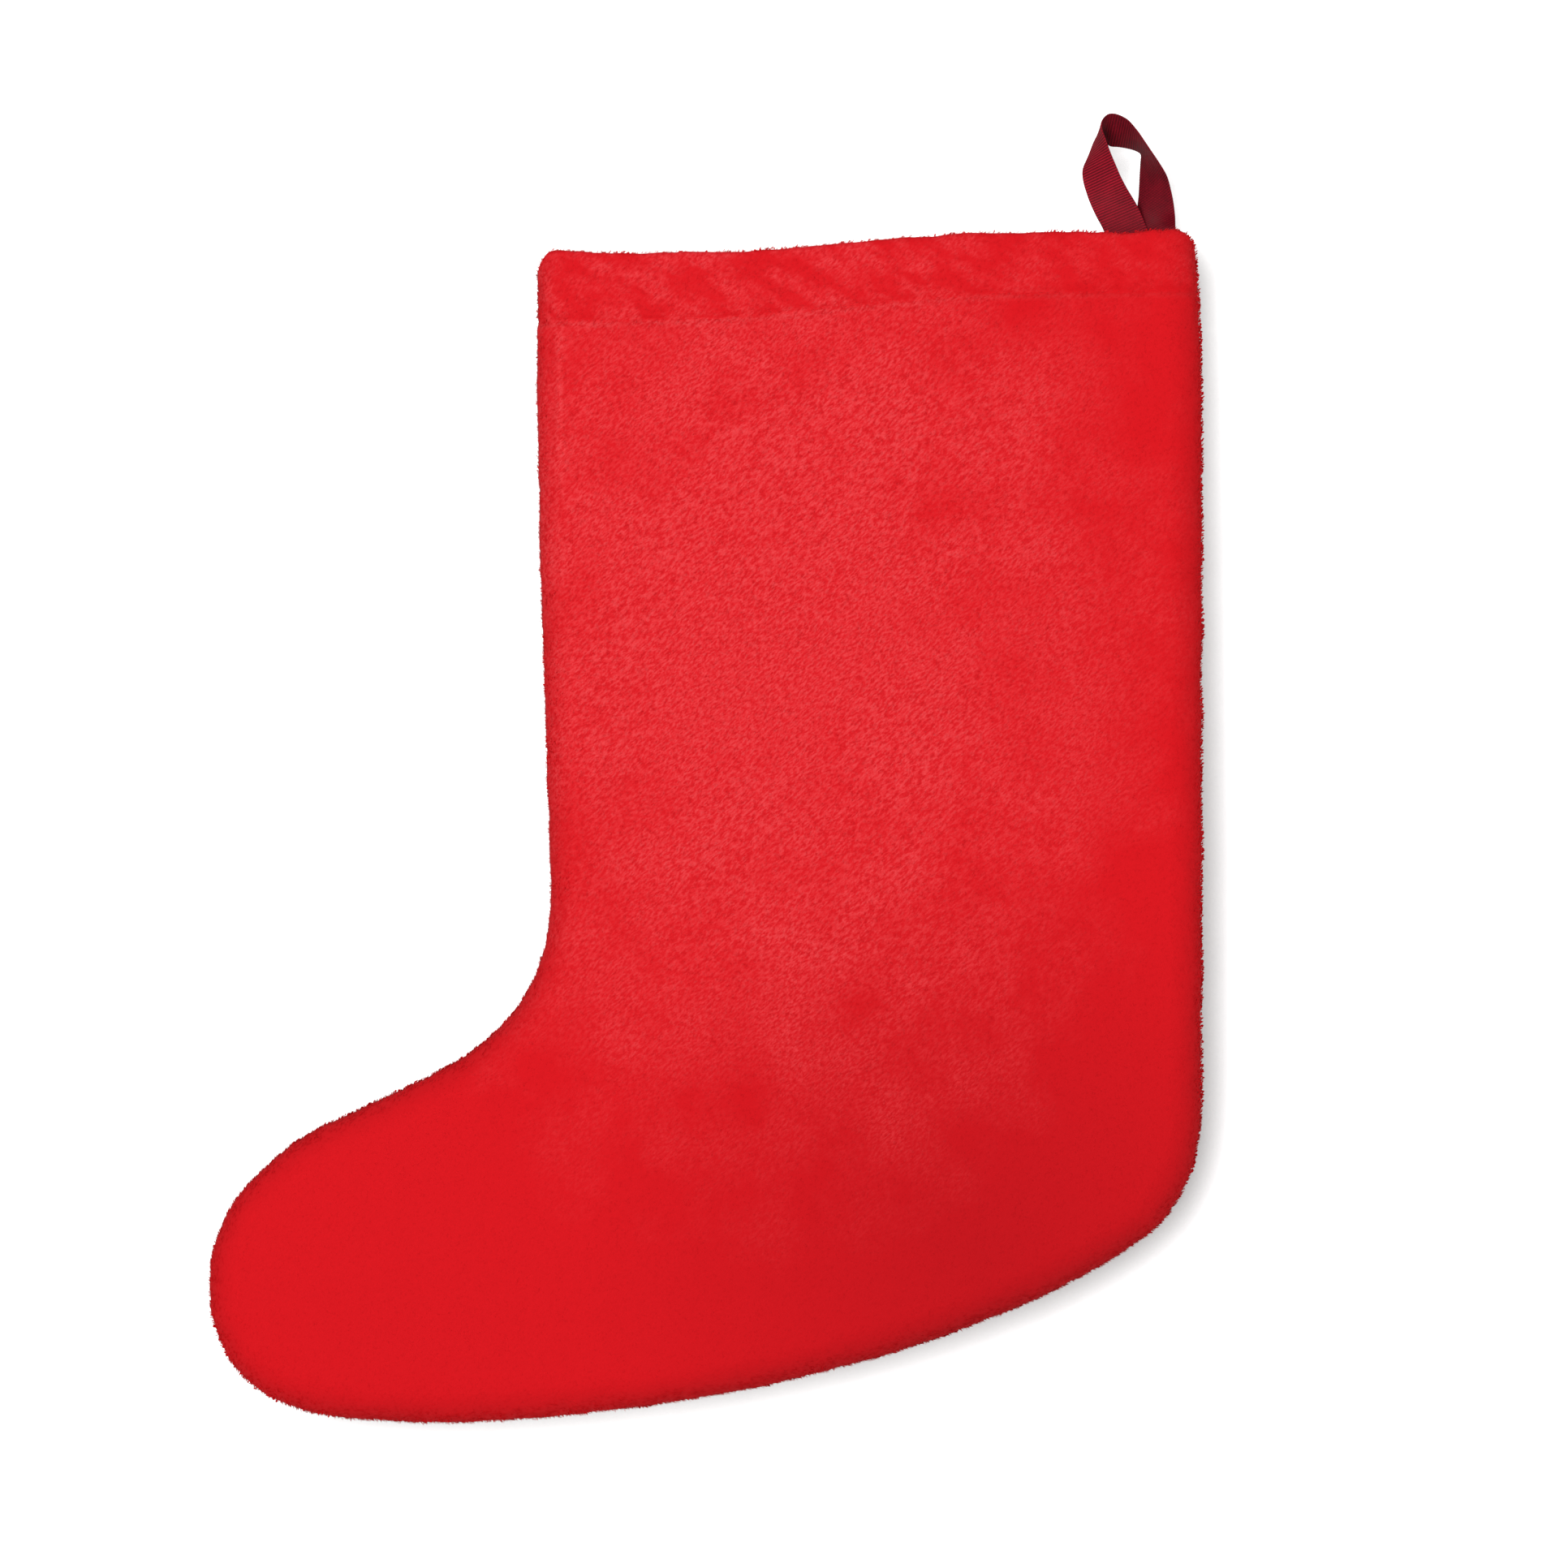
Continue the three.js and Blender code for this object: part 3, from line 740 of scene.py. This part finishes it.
RIBBON_WIDTH = 15.9 * MM
RIBBON_THICKNESS = 0.7 * MM
LEG_OFFSET_Y = 0.5 * MM
TAIL_END_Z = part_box("loop_tail_front")[0][2]
RIBBON_STEP = 0.24 * MM  # between rows of vertices
RIB_PITCH = 1.05 * MM
RIB_HEIGHT = 0.14 * MM
CORD_HEIGHT = 0.09 * MM  # of the selvages above the rest
CORD_WIDTH = 0.035  # of the ribbon's width
ROUNDING = 0.02  # of the ribbon's width
WOVEN_THINNER = 0.12 * MM  # on either face, under the ribs
WAVINESS = 0.12 * MM
WAVE_SIZE = 5 * MM
INNER_FACE_PAINTED_SHADE = 0.62  # the face that looks into the loop is darkened all over as painted shade
RIBBON_RUNGS = np.array([
    # Near edge (x, z), then far edge (x, z), from the end of the front tail round to that of the rear tail.
    [18.5, TAIL_END_Z / MM, 1.4, TAIL_END_Z / MM],
    [14, -42.4, -3.1, -42.4],
    [9.5, -31.8, -7.6, -31.8],
    [8.8, -30.2, -8.3, -30.2],
    [5.3, -22.2, -11, -25.2],
    [0, -13.5, -14, -17.4],
    [-4.4, -4, -15.7, -8.8],
    [-7, 2.4, -13.2, -2.3],
    [-8.7, 7.4, -10.3, 4.2],
    [-8.4, 10.2, -8.9, 5.2],
    [-6.6, 12.4, -7.4, 3.2],
    [-3.8, 13, -5, 1.3],
    [0.7, 11, -2, 1],
    [4.6, 6.7, 2.2, 0.5],
    [7.6, 2.2, 5.2, -0.4],
    [10.6, -2.2, 6.9, -1.5],
    [13.5, -6.4, 6.8, -5.4],
    [16.3, -11, 6.4, -11],
    [18.4, -18.4, 5.9, -18],
    [19.5, -25, 5.1, -24.5],
    [19.9, -30.2, 4.4, -30.2],
    [19.9, -31.8, 4.4, -31.8],
    [20, -42.4, 4.3, -42.4],
    [20.1, TAIL_END_Z / MM, 4.2, TAIL_END_Z / MM],
]) * MM
FIRST_LOOP_RUNG, LAST_LOOP_RUNG = 3, 20


def ribbon_edges():
    """A rung is as long as the ribbon is wide, so what it lacks across x and z is its depth along y."""
    near, far = [], []
    for i, (near_x, near_z, far_x, far_z) in enumerate(RIBBON_RUNGS):
        seen = math.hypot(near_x - far_x, near_z - far_z)
        in_loop = FIRST_LOOP_RUNG < i < LAST_LOOP_RUNG
        reach = math.sqrt(max(0, RIBBON_WIDTH ** 2 - seen ** 2)) / 2 if in_loop else 0
        t = np.clip((i - FIRST_LOOP_RUNG) / (LAST_LOOP_RUNG - FIRST_LOOP_RUNG), 0, 1)
        middle = lerp(-LEG_OFFSET_Y, LEG_OFFSET_Y, t)
        near.append((near_x, middle - reach, near_z))
        far.append((far_x, middle + reach, far_z))
    return np.array(near), np.array(far)


def through(points, t):
    """Centripetal Catmull-Rom curve through the points, at t counted in points."""
    points = np.concatenate([[2 * points[0] - points[1]], points, [2 * points[-1] - points[-2]]])
    k = np.clip(t.astype(int), 0, len(points) - 4)
    w = (t - k)[:, None]
    p = [points[k + i] for i in range(4)]
    gap = [np.sqrt(np.linalg.norm(p[i + 1] - p[i], axis=1))[:, None] for i in range(3)]
    start = ((p[1] - p[0]) / gap[0] - (p[2] - p[0]) / (gap[0] + gap[1]) + (p[2] - p[1]) / gap[1]) * gap[1]
    end = ((p[2] - p[1]) / gap[1] - (p[3] - p[1]) / (gap[1] + gap[2]) + (p[3] - p[2]) / gap[2]) * gap[1]
    a = p[1]
    c = -3 * p[1] + 3 * p[2] - 2 * start - end
    d = 2 * p[1] - 2 * p[2] + start + end
    return a + start * w + c * w ** 2 + d * w ** 3


def ribbon_rows():
    """Its near and far edge in even rows, the way that its outer face looks, and the run of each edge."""
    near, far = ribbon_edges()
    t = np.linspace(0, len(near) - 1, 4000)
    run = run_of((through(near, t) + through(far, t)) / 2)
    t = np.interp(np.linspace(0, run[-1], int(run[-1] / RIBBON_STEP)), run, t)
    a, b = through(near, t), through(far, t)
    along = np.gradient((a + b) / 2, axis=0)
    along /= np.linalg.norm(along, axis=1)[:, None]
    lift = np.cross(a - b, along)
    lift /= np.linalg.norm(lift, axis=1)[:, None]
    slant = (b[0] - a[0]) @ along[0]  # the tail is cut aslant
    return a, b, lift, run_of(a), run_of(b) + slant


def strip_polygons(rows, wide):
    """The outer face of a strip, then its inner face, whose vertices follow, and the four edges between."""
    size = rows * wide
    polygons = []
    for r in range(rows - 1):
        for k in range(wide - 1):
            p = r * wide + k
            polygons.append((p, p + wide, p + wide + 1, p + 1))
            polygons.append((size + p, size + p + 1, size + p + wide + 1, size + p + wide))
        first, last = r * wide, r * wide + wide - 1
        polygons.append((first, size + first, size + first + wide, first + wide))
        polygons.append((last, last + wide, size + last + wide, size + last))
    for k in range(wide - 1):
        p = (rows - 1) * wide + k
        polygons.append((k, k + 1, size + k + 1, size + k))
        polygons.append((p, size + p, size + p + 1, p + 1))
    return polygons


def ribbon_object():
    """One grosgrain strip from tail to tail, with a rib across it about every millimetre and corded edges."""
    a, b, lift, near_run, far_run = ribbon_rows()
    across = np.concatenate([[0, 0.012, 0.03, 0.055], np.linspace(0.085, 0.915, 15), [0.945, 0.97, 0.988, 1]])
    selvage = bell(across, 0, CORD_WIDTH) + bell(across, 1, CORD_WIDTH)
    from_edge = np.minimum(across, 1 - across)
    rounded = np.sqrt(np.clip(1 - np.clip(1 - from_edge / ROUNDING, 0, 1) ** 2, 0.04, 1))
    run = near_run[:, None] * (1 - across) + far_run[:, None] * across
    ribs = np.cos(2 * math.pi * run / RIB_PITCH)
    woven = RIBBON_THICKNESS / 2 - WOVEN_THINNER + CORD_HEIGHT * selvage
    half = (woven + RIB_HEIGHT * ribs * (1 - 0.8 * selvage)) * rounded
    wavy = WAVINESS * np.array([noise.noise((s / WAVE_SIZE, 0, 7)) for s in near_run])[:, None]
    flat = a[:, None] * (1 - across)[:, None] + b[:, None] * across[:, None]
    faces = [flat + lift[:, None] * (side * half + wavy)[:, :, None] for side in (1, -1)]
    made = mesh_object("ribbon_strip", np.concatenate(faces).reshape(-1, 3), strip_polygons(*run.shape), None)
    # painted shade: darker in the grooves of the outer face, and darker all over the face that looks into the
    # loop, where the tone runs the other way across the ribs
    note(made, "rib", np.concatenate([1 + ribs, INNER_FACE_PAINTED_SHADE * (1 - ribs)]).ravel() / 2)
    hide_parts("hanging_loop", "loop_tail_front", "loop_tail_rear")
    return made


TACK_STROKES = 6
TACK_MARGIN = 0.4 * MM


def tack_object():
    """The hand tack that holds both tails to the hem: a close zigzag with its two ends through the cloth."""
    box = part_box("loop_tack_thread")
    low, high = np.array(box[0]) + TACK_MARGIN, np.array(box[1]) - TACK_MARGIN
    start_y, anchor_y = low[1] + 0.5 * MM, high[1] - 0.2 * MM
    x = np.linspace(low[0], high[0], TACK_STROKES + 1)
    z = [(low, high)[k % 2][2] for k in range(TACK_STROKES + 1)]
    points = [(x[0], anchor_y, z[0]), (x[0], start_y, z[0])]
    points += [(a, low[1], b) for a, b in zip(x, z)]
    points += [(x[-1], start_y, z[-1]), (x[-1], anchor_y, z[-1])]
    points = np.array(points)
    t = np.linspace(0, len(points) - 1, 320)
    made = tube("loop_tack_stitches", through(points, t), 0.36 * MM, 8)
    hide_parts("loop_tack_thread")
    return made


# Materials

def linear(*rgb):
    """An sRGB colour from 0 to 255 as the linear colour that a shader takes."""
    values = [c / 255 for c in rgb]
    return tuple(c / 12.92 if c <= 0.04045 else ((c + 0.055) / 1.055) ** 2.4 for c in values) + (1.0,)


def grey(value):
    return (value, value, value, 1.0)


BLACK, WHITE = grey(0.0), grey(1.0)


class Nodes:
    """A material's node tree, built by short calls."""

    def __init__(self, name):
        self.material = bpy.data.materials.new(name)
        self.material.use_nodes = True
        self.tree = self.material.node_tree
        self.tree.nodes.clear()
        self.output = self.tree.nodes.new("ShaderNodeOutputMaterial")
        self.shader = self.tree.nodes.new("ShaderNodeBsdfPrincipled")
        self.link(self.shader.outputs[0], self.output.inputs[0])

    def link(self, source, target):
        self.tree.links.new(source, target)

    def node(self, kind, inputs=(), **settings):
        made = self.tree.nodes.new("ShaderNode" + kind)
        for key, value in settings.items():
            setattr(made, key, value)
        for key, value in dict(inputs).items():
            if isinstance(value, bpy.types.NodeSocket):
                self.link(value, made.inputs[key])
            else:
                made.inputs[key].default_value = value
        return made

    def place(self, scale=(1, 1, 1), turn=(0, 0, 0)):
        where = self.node("TexCoord").outputs["Object"]
        settings = {"Vector": where, "Scale": [1 / s for s in scale], "Rotation": turn}
        return self.node("Mapping", settings, vector_type="TEXTURE").outputs[0]

    def noise(self, vector, scale, detail=2, roughness=0.55):
        settings = {"Vector": vector, "Scale": scale, "Detail": detail, "Roughness": roughness}
        return self.node("TexNoise", settings).outputs["Fac"]

    def attribute(self, name):
        return self.node("Attribute", attribute_name=name).outputs["Fac"]

    def bands(self, vector, scale, distortion, direction, **inputs):
        settings = {"Vector": vector, "Scale": scale, "Distortion": distortion, **inputs}
        return self.node("TexWave", settings, wave_type="BANDS", bands_direction=direction).outputs["Fac"]

    def spot(self, scale, shift):
        """1 in the middle of a round spot over the face of a panel, falling to 0 at its edge."""
        settings = {"Vector": self.node("TexCoord").outputs["Object"], "Scale": scale, "Location": shift}
        spot = self.node("Mapping", settings).outputs[0]
        return self.node("TexGradient", {"Vector": spot}, gradient_type="SPHERICAL").outputs["Fac"]

    def ramp(self, factor, stops):
        stops = list(stops)
        made = self.node("ValToRGB", {"Fac": factor})
        elements = made.color_ramp.elements
        while len(elements) < len(stops):
            elements.new(0.5)
        for element, (at, colour) in zip(elements, stops):
            element.position, element.color = at, colour
        return made.outputs["Color"]

    def mix(self, factor, a, b):
        return self.node("Mix", {0: factor, 6: a, 7: b}, data_type="RGBA").outputs[2]

    def plus(self, a, b):
        return self.node("Math", {0: a, 1: b}, operation="ADD").outputs[0]

    def times(self, a, b):
        return self.node("Math", {0: a, 1: b}, operation="MULTIPLY").outputs[0]

    def bump(self, height, distance):
        made = self.node("Bump", {"Height": height, "Distance": distance})
        self.feed(Normal=made.outputs[0])

    def feed(self, **sources):
        for key, source in sources.items():
            self.link(source, self.shader.inputs[key.replace("_", " ")])

    def set(self, **values):
        for key, value in values.items():
            self.shader.inputs[key.replace("_", " ")].default_value = value


NAP_TURN = (0, math.radians(-42), 0)  # the streaks rise to the right
HEM_PATCH_TURN = (0, math.radians(28), 0)
# height of the middle of the plush's painted highlight
PAINTED_HIGHLIGHT_Z = -0.185
SMOOTH_PLUSH = linear(202, 15, 24)
# painted highlight: the brighter ground over the upper leg
PAINTED_HIGHLIGHT_PLUSH = linear(210, 27, 35)
# painted shade over the heel and the lower foot
HEEL_SHADE_PLUSH = linear(178, 12, 21)
# painted shade in the hollows between the wisps
HOLLOW_SHADE_PLUSH = linear(182, 11, 19)
# painted sheen: the pale pink of the wisps and of the lines along the hem and the shin's ridge
PAINTED_SHEEN_PLUSH = linear(220, 64, 68)
PLUSH_SHEEN = linear(255, 80, 80)
KNIT = (linear(120, 12, 18), linear(182, 34, 40), linear(206, 62, 64))
GROSGRAIN = (linear(44, 2, 10), linear(118, 9, 27), linear(176, 20, 42))


def plush_material(name, depth):
    """Short pile: soft brushed patches, a painted highlight over the upper leg, pale wisps of painted sheen
    along the nap where it is brushed up, and painted shade in the hollows and towards the heel.
    """
    m = Nodes(name)
    nap = m.place(scale=(1, 1, 2.4), turn=NAP_TURN)
    wisps = m.noise(nap, 470, 3, 0.62)
    fibres = m.noise(nap, 1300, 2, 0.6)
    patches = m.noise(m.place(), 34, 3, 0.6)
    # the nap is brushed up most over the upper leg, where the ground also gets a painted highlight, and lies
    # smooth towards the heel and the sole
    across, up = 1 / BRUSHED_AND_HIGHLIGHT_REACH[0], 1 / BRUSHED_AND_HIGHLIGHT_REACH[1]
    brushed = m.spot((across, 0, up), (-BRUSHED_AND_HIGHLIGHT_X * across, 0, -PAINTED_HIGHLIGHT_Z * up))
    uneven = m.times(m.plus(patches, -0.5), m.plus(brushed, 0.12))
    lift = m.plus(brushed, m.times(uneven, 1.9))
    lift = m.ramp(lift, [(0.12, grey(0.02)), (0.7, WHITE)])
    # above the hem's stitching the pile lies in slanting patches, and below it runs a pale line of painted
    # sheen
    hem = m.attribute("hem")
    slants = m.noise(m.place(scale=(1, 1, 2.0), turn=HEM_PATCH_TURN), 62, 2, 0.5)
    towards_toe_side = m.plus(m.times(brushed, 1.6), 0.22)
    slanted = m.times(m.ramp(slants, [(0.42, grey(0.02)), (0.62, grey(0.9))]), towards_toe_side)
    lift = m.mix(m.ramp(hem, [(0.49, BLACK), (0.53, grey(0.85))]), lift, slanted)
    line = m.ramp(hem, [(0.34, BLACK), (0.44, grey(0.6)), (0.5, BLACK)])
    tone = m.plus(m.times(wisps, 0.7), m.times(fibres, 0.3))
    soft = m.ramp(tone, [(0.36, BLACK), (0.6, grey(0.8))])
    streaks = m.ramp(tone, [(0.44, BLACK), (0.64, WHITE)])
    line = m.times(line, towards_toe_side)
    sheen_lines = m.node("Math", {0: line, 1: m.attribute("ridge")}, operation="MAXIMUM").outputs[0]
    # painted sheen: pale wisps where the pile is brushed up, and pale lines below the hem's stitching and on
    # the shin's ridge
    pale = m.plus(m.times(streaks, lift), m.times(soft, sheen_lines))
    # painted shade: the ground darkens round the heel and the lower foot
    heel = m.spot((6.5, 0, 6.5), (0.35, 0, 2.75))
    # painted highlight: the ground is brighter round the spot over the upper leg
    ground = m.mix(lift, SMOOTH_PLUSH, PAINTED_HIGHLIGHT_PLUSH)
    ground = m.mix(m.times(heel, 0.9), ground, HEEL_SHADE_PLUSH)
    # painted shade in the hollows between the wisps, stronger where the pile is brushed up
    hollow_shade = m.ramp(tone, [(0.32, grey(0.55)), (0.5, BLACK)])
    hollow_shade = m.times(hollow_shade, m.plus(m.times(lift, 0.7), 0.3))
    shaded = m.mix(hollow_shade, ground, HOLLOW_SHADE_PLUSH)
    m.feed(Base_Color=m.mix(pale, shaded, PAINTED_SHEEN_PLUSH), Roughness=m.plus(m.times(wisps, 0.2), 0.72))
    m.set(Sheen_Weight=0.08, Sheen_Roughness=0.5, Sheen_Tint=PLUSH_SHEEN, Specular_IOR_Level=0.08)
    m.bump(m.times(tone, m.plus(m.times(lift, 0.6), 0.4)), depth)
    return m.material


def backing_material():
    """The knitted back of the plush: fine wales, a little paler and duller than the pile."""
    m = Nodes("knit_backing")
    wales = m.bands(m.place(), 260, 1.2, "X", Detail=1)
    loops = m.times(wales, m.bands(m.place(), 200, 0.8, "Z", Detail=1))
    m.feed(Base_Color=m.ramp(loops, zip((0.0, 0.5, 1.0), KNIT)))
    m.set(Roughness=0.92, Sheen_Weight=0.1)
    m.bump(loops, 0.25 * MM)
    return m.material


def ribbon_material():
    """Woven grosgrain: silky weft over the ribs, with painted shade in the grooves between them and over the
    face that looks into the loop.
    """
    m = Nodes("grosgrain_burgundy")
    threads = m.noise(m.place(), 1500)
    cloud = m.noise(m.place(), 120)
    tone = m.plus(m.times(threads, 0.25), m.times(cloud, 0.25))
    # painted shade from the rib attribute, in the grooves and over the face that looks into the loop
    tone = m.plus(tone, m.times(m.attribute("rib"), 0.5))
    m.feed(Base_Color=m.ramp(tone, zip((0.16, 0.48, 0.78), GROSGRAIN)),
           Roughness=m.plus(m.times(threads, 0.25), 0.45))
    m.set(Specular_IOR_Level=0.12)
    m.bump(threads, 0.08 * MM)
    return m.material


def thread_material(name, dark, light):
    """Spun thread: plies that run aslant round it."""
    m = Nodes(name)
    plies = m.bands(m.place(turn=(0, math.radians(35), 0)), 620, 1.5, "DIAGONAL")
    tone = m.plus(m.times(plies, 0.7), m.times(m.noise(m.place(), 2400), 0.3))
    m.feed(Base_Color=m.ramp(tone, [(0.2, dark), (0.8, light)]))
    m.set(Roughness=0.7, Sheen_Weight=0.05, Specular_IOR_Level=0.15)
    m.bump(plies, 0.1 * MM)
    return m.material


PLUSH = plush_material("plush_red", 0.5 * MM)
PILE = plush_material("plush_pile", 0.25 * MM)
BACKING = backing_material()
RIBBON = ribbon_material()
RED_THREAD = thread_material("thread_red", linear(168, 12, 20), linear(206, 28, 34))
RIBBON_THREAD = thread_material("thread_burgundy", linear(70, 8, 18), linear(140, 28, 44))


# The pieces

PILE_COUNT = 48000
for panel in (FRONT, BACK):
    cloth, sheet_faces, shown = panel_object(panel)
    cloth.data.materials.append(PLUSH)
    cloth.data.materials.append(BACKING)
    slots = np.zeros(len(cloth.data.polygons), np.int32)
    slots[sheet_faces:2 * sheet_faces] = 1
    cloth.data.polygons.foreach_set("material_index", slots)
    cloth.data.update()
    pile = pile_object(panel, cloth, shown, PILE_COUNT, 11 if panel is FRONT else 12)
    pile.data.materials.append(PILE)
    threads = hem_threads(panel)
    threads.append(seam_thread(panel, "needle" if panel is FRONT else "bobbin"))
    for thread in threads:
        thread.data.materials.append(RED_THREAD)

ribbon = ribbon_object()
ribbon.data.materials.append(RIBBON)
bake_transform(ribbon)
tack = tack_object()
tack.data.materials.append(RIBBON_THREAD)


# Stage, light and camera

def plane(name, corners, colour):
    mesh = bpy.data.meshes.new(name)
    mesh.from_pydata(corners, [], [(0, 1, 2, 3)])
    made = bpy.data.objects.new(name, mesh)
    bpy.context.collection.objects.link(made)
    m = Nodes(name)
    m.set(Base_Color=colour, Roughness=0.95, Specular_IOR_Level=0.0)
    mesh.materials.append(m.material)
    return made, m


STAGE = 3.0
SHADOW_REACH = 18 * MM
PAPER = grey(0.96)
PAPER_GLOW = 0.6  # keeps the paper behind the stocking white
PAPER_Y = BACK_Y + 0.55  # behind the stocking however far it swings
CARD_Y = BACK_Y + 2 * MM
CARD_MARGIN = 50 * MM
FLOOR_Z = SOLE_Z - 0.12


def upright(y, left, right, low, high):
    return [(left, y, low), (right, y, low), (right, y, high), (left, y, high)]


def camera_only(made):
    """Leaves the object out of the light, so that it neither shades nor brightens what hangs before it."""
    made.visible_diffuse = made.visible_glossy = made.visible_transmission = made.visible_shadow = False


plane("floor", [(-STAGE, -STAGE, FLOOR_Z), (STAGE, -STAGE, FLOOR_Z), (STAGE, STAGE, FLOOR_Z),
                (-STAGE, STAGE, FLOOR_Z)], PAPER)
paper, paper_nodes = plane("paper", upright(PAPER_Y, -STAGE, STAGE, FLOOR_Z, STAGE), PAPER)
paper_nodes.set(Emission_Color=PAPER, Emission_Strength=PAPER_GLOW)
clear_from_behind = paper_nodes.node("MixShader", {
    0: paper_nodes.node("NewGeometry").outputs["Backfacing"],
    1: paper_nodes.shader.outputs[0],
    2: paper_nodes.node("BsdfTransparent").outputs[0],
})
paper_nodes.link(clear_from_behind.outputs[0], paper_nodes.output.inputs[0])
camera_only(paper)

# A clear card just behind the stocking carries a painted shadow, made by ambient occlusion towards the key
# light, to the right of it and below. Seen from behind, the card is clear all over.
card, card_nodes = plane("shadow_card", upright(CARD_Y, TOE_X - CARD_MARGIN, HEEL_X + CARD_MARGIN,
                                                 SOLE_Z - CARD_MARGIN, 2 * CARD_MARGIN), PAPER)
towards_key = card_nodes.node("CombineXYZ", {"X": -0.72, "Y": -0.6, "Z": 0.34}).outputs[0]
shade = card_nodes.node("AmbientOcclusion", {"Normal": towards_key, "Distance": SHADOW_REACH}, samples=16)
darkening = card_nodes.ramp(shade.outputs["AO"], [(0.35, (0.3, 0.293, 0.29, 1)), (0.93, WHITE)])
darkening = card_nodes.mix(card_nodes.node("NewGeometry").outputs["Backfacing"], darkening, WHITE)
clear = card_nodes.node("BsdfTransparent", {"Color": darkening})
card_nodes.link(clear.outputs[0], card_nodes.output.inputs[0])
camera_only(card)

world_data = bpy.data.worlds.new("studio")
world_data.use_nodes = True
background = world_data.node_tree.nodes["Background"]
background.inputs["Color"].default_value = WHITE
background.inputs["Strength"].default_value = 0.5
bpy.context.scene.world = world_data


def area_light(name, place, target, size, power):
    data = bpy.data.lights.new(name, "AREA")
    data.shape, data.size, data.energy = "DISK", size, power
    made = bpy.data.objects.new(name, data)
    made.location = place
    made.rotation_euler = (Vector(target) - Vector(place)).to_track_quat("-Z", "Y").to_euler()
    bpy.context.collection.objects.link(made)


MIDDLE = Vector(((TOE_X + HEEL_X) / 2, 0, SOLE_Z / 2))
area_light("key", MIDDLE + Vector((-1.0, -2.5, 0.75)), MIDDLE, 1.1, 40)
area_light("fill", MIDDLE + Vector((1.6, -2.2, 0.3)), MIDDLE, 1.6, 14)

VIEW_WIDTH = 0.6009
VIEW_X, VIEW_Z = -0.1303, -0.2438
camera_data = bpy.data.cameras.new("camera")
camera_data.lens = 200
camera = bpy.data.objects.new("camera", camera_data)
camera.location = (VIEW_X, SEAM_Y - VIEW_WIDTH * camera_data.lens / camera_data.sensor_width, VIEW_Z)
camera.rotation_euler = (math.pi / 2, 0, 0)
camera_data.clip_end = 20
bpy.context.collection.objects.link(camera)
bpy.context.scene.camera = camera
bpy.context.scene.view_settings.view_transform = "Standard"
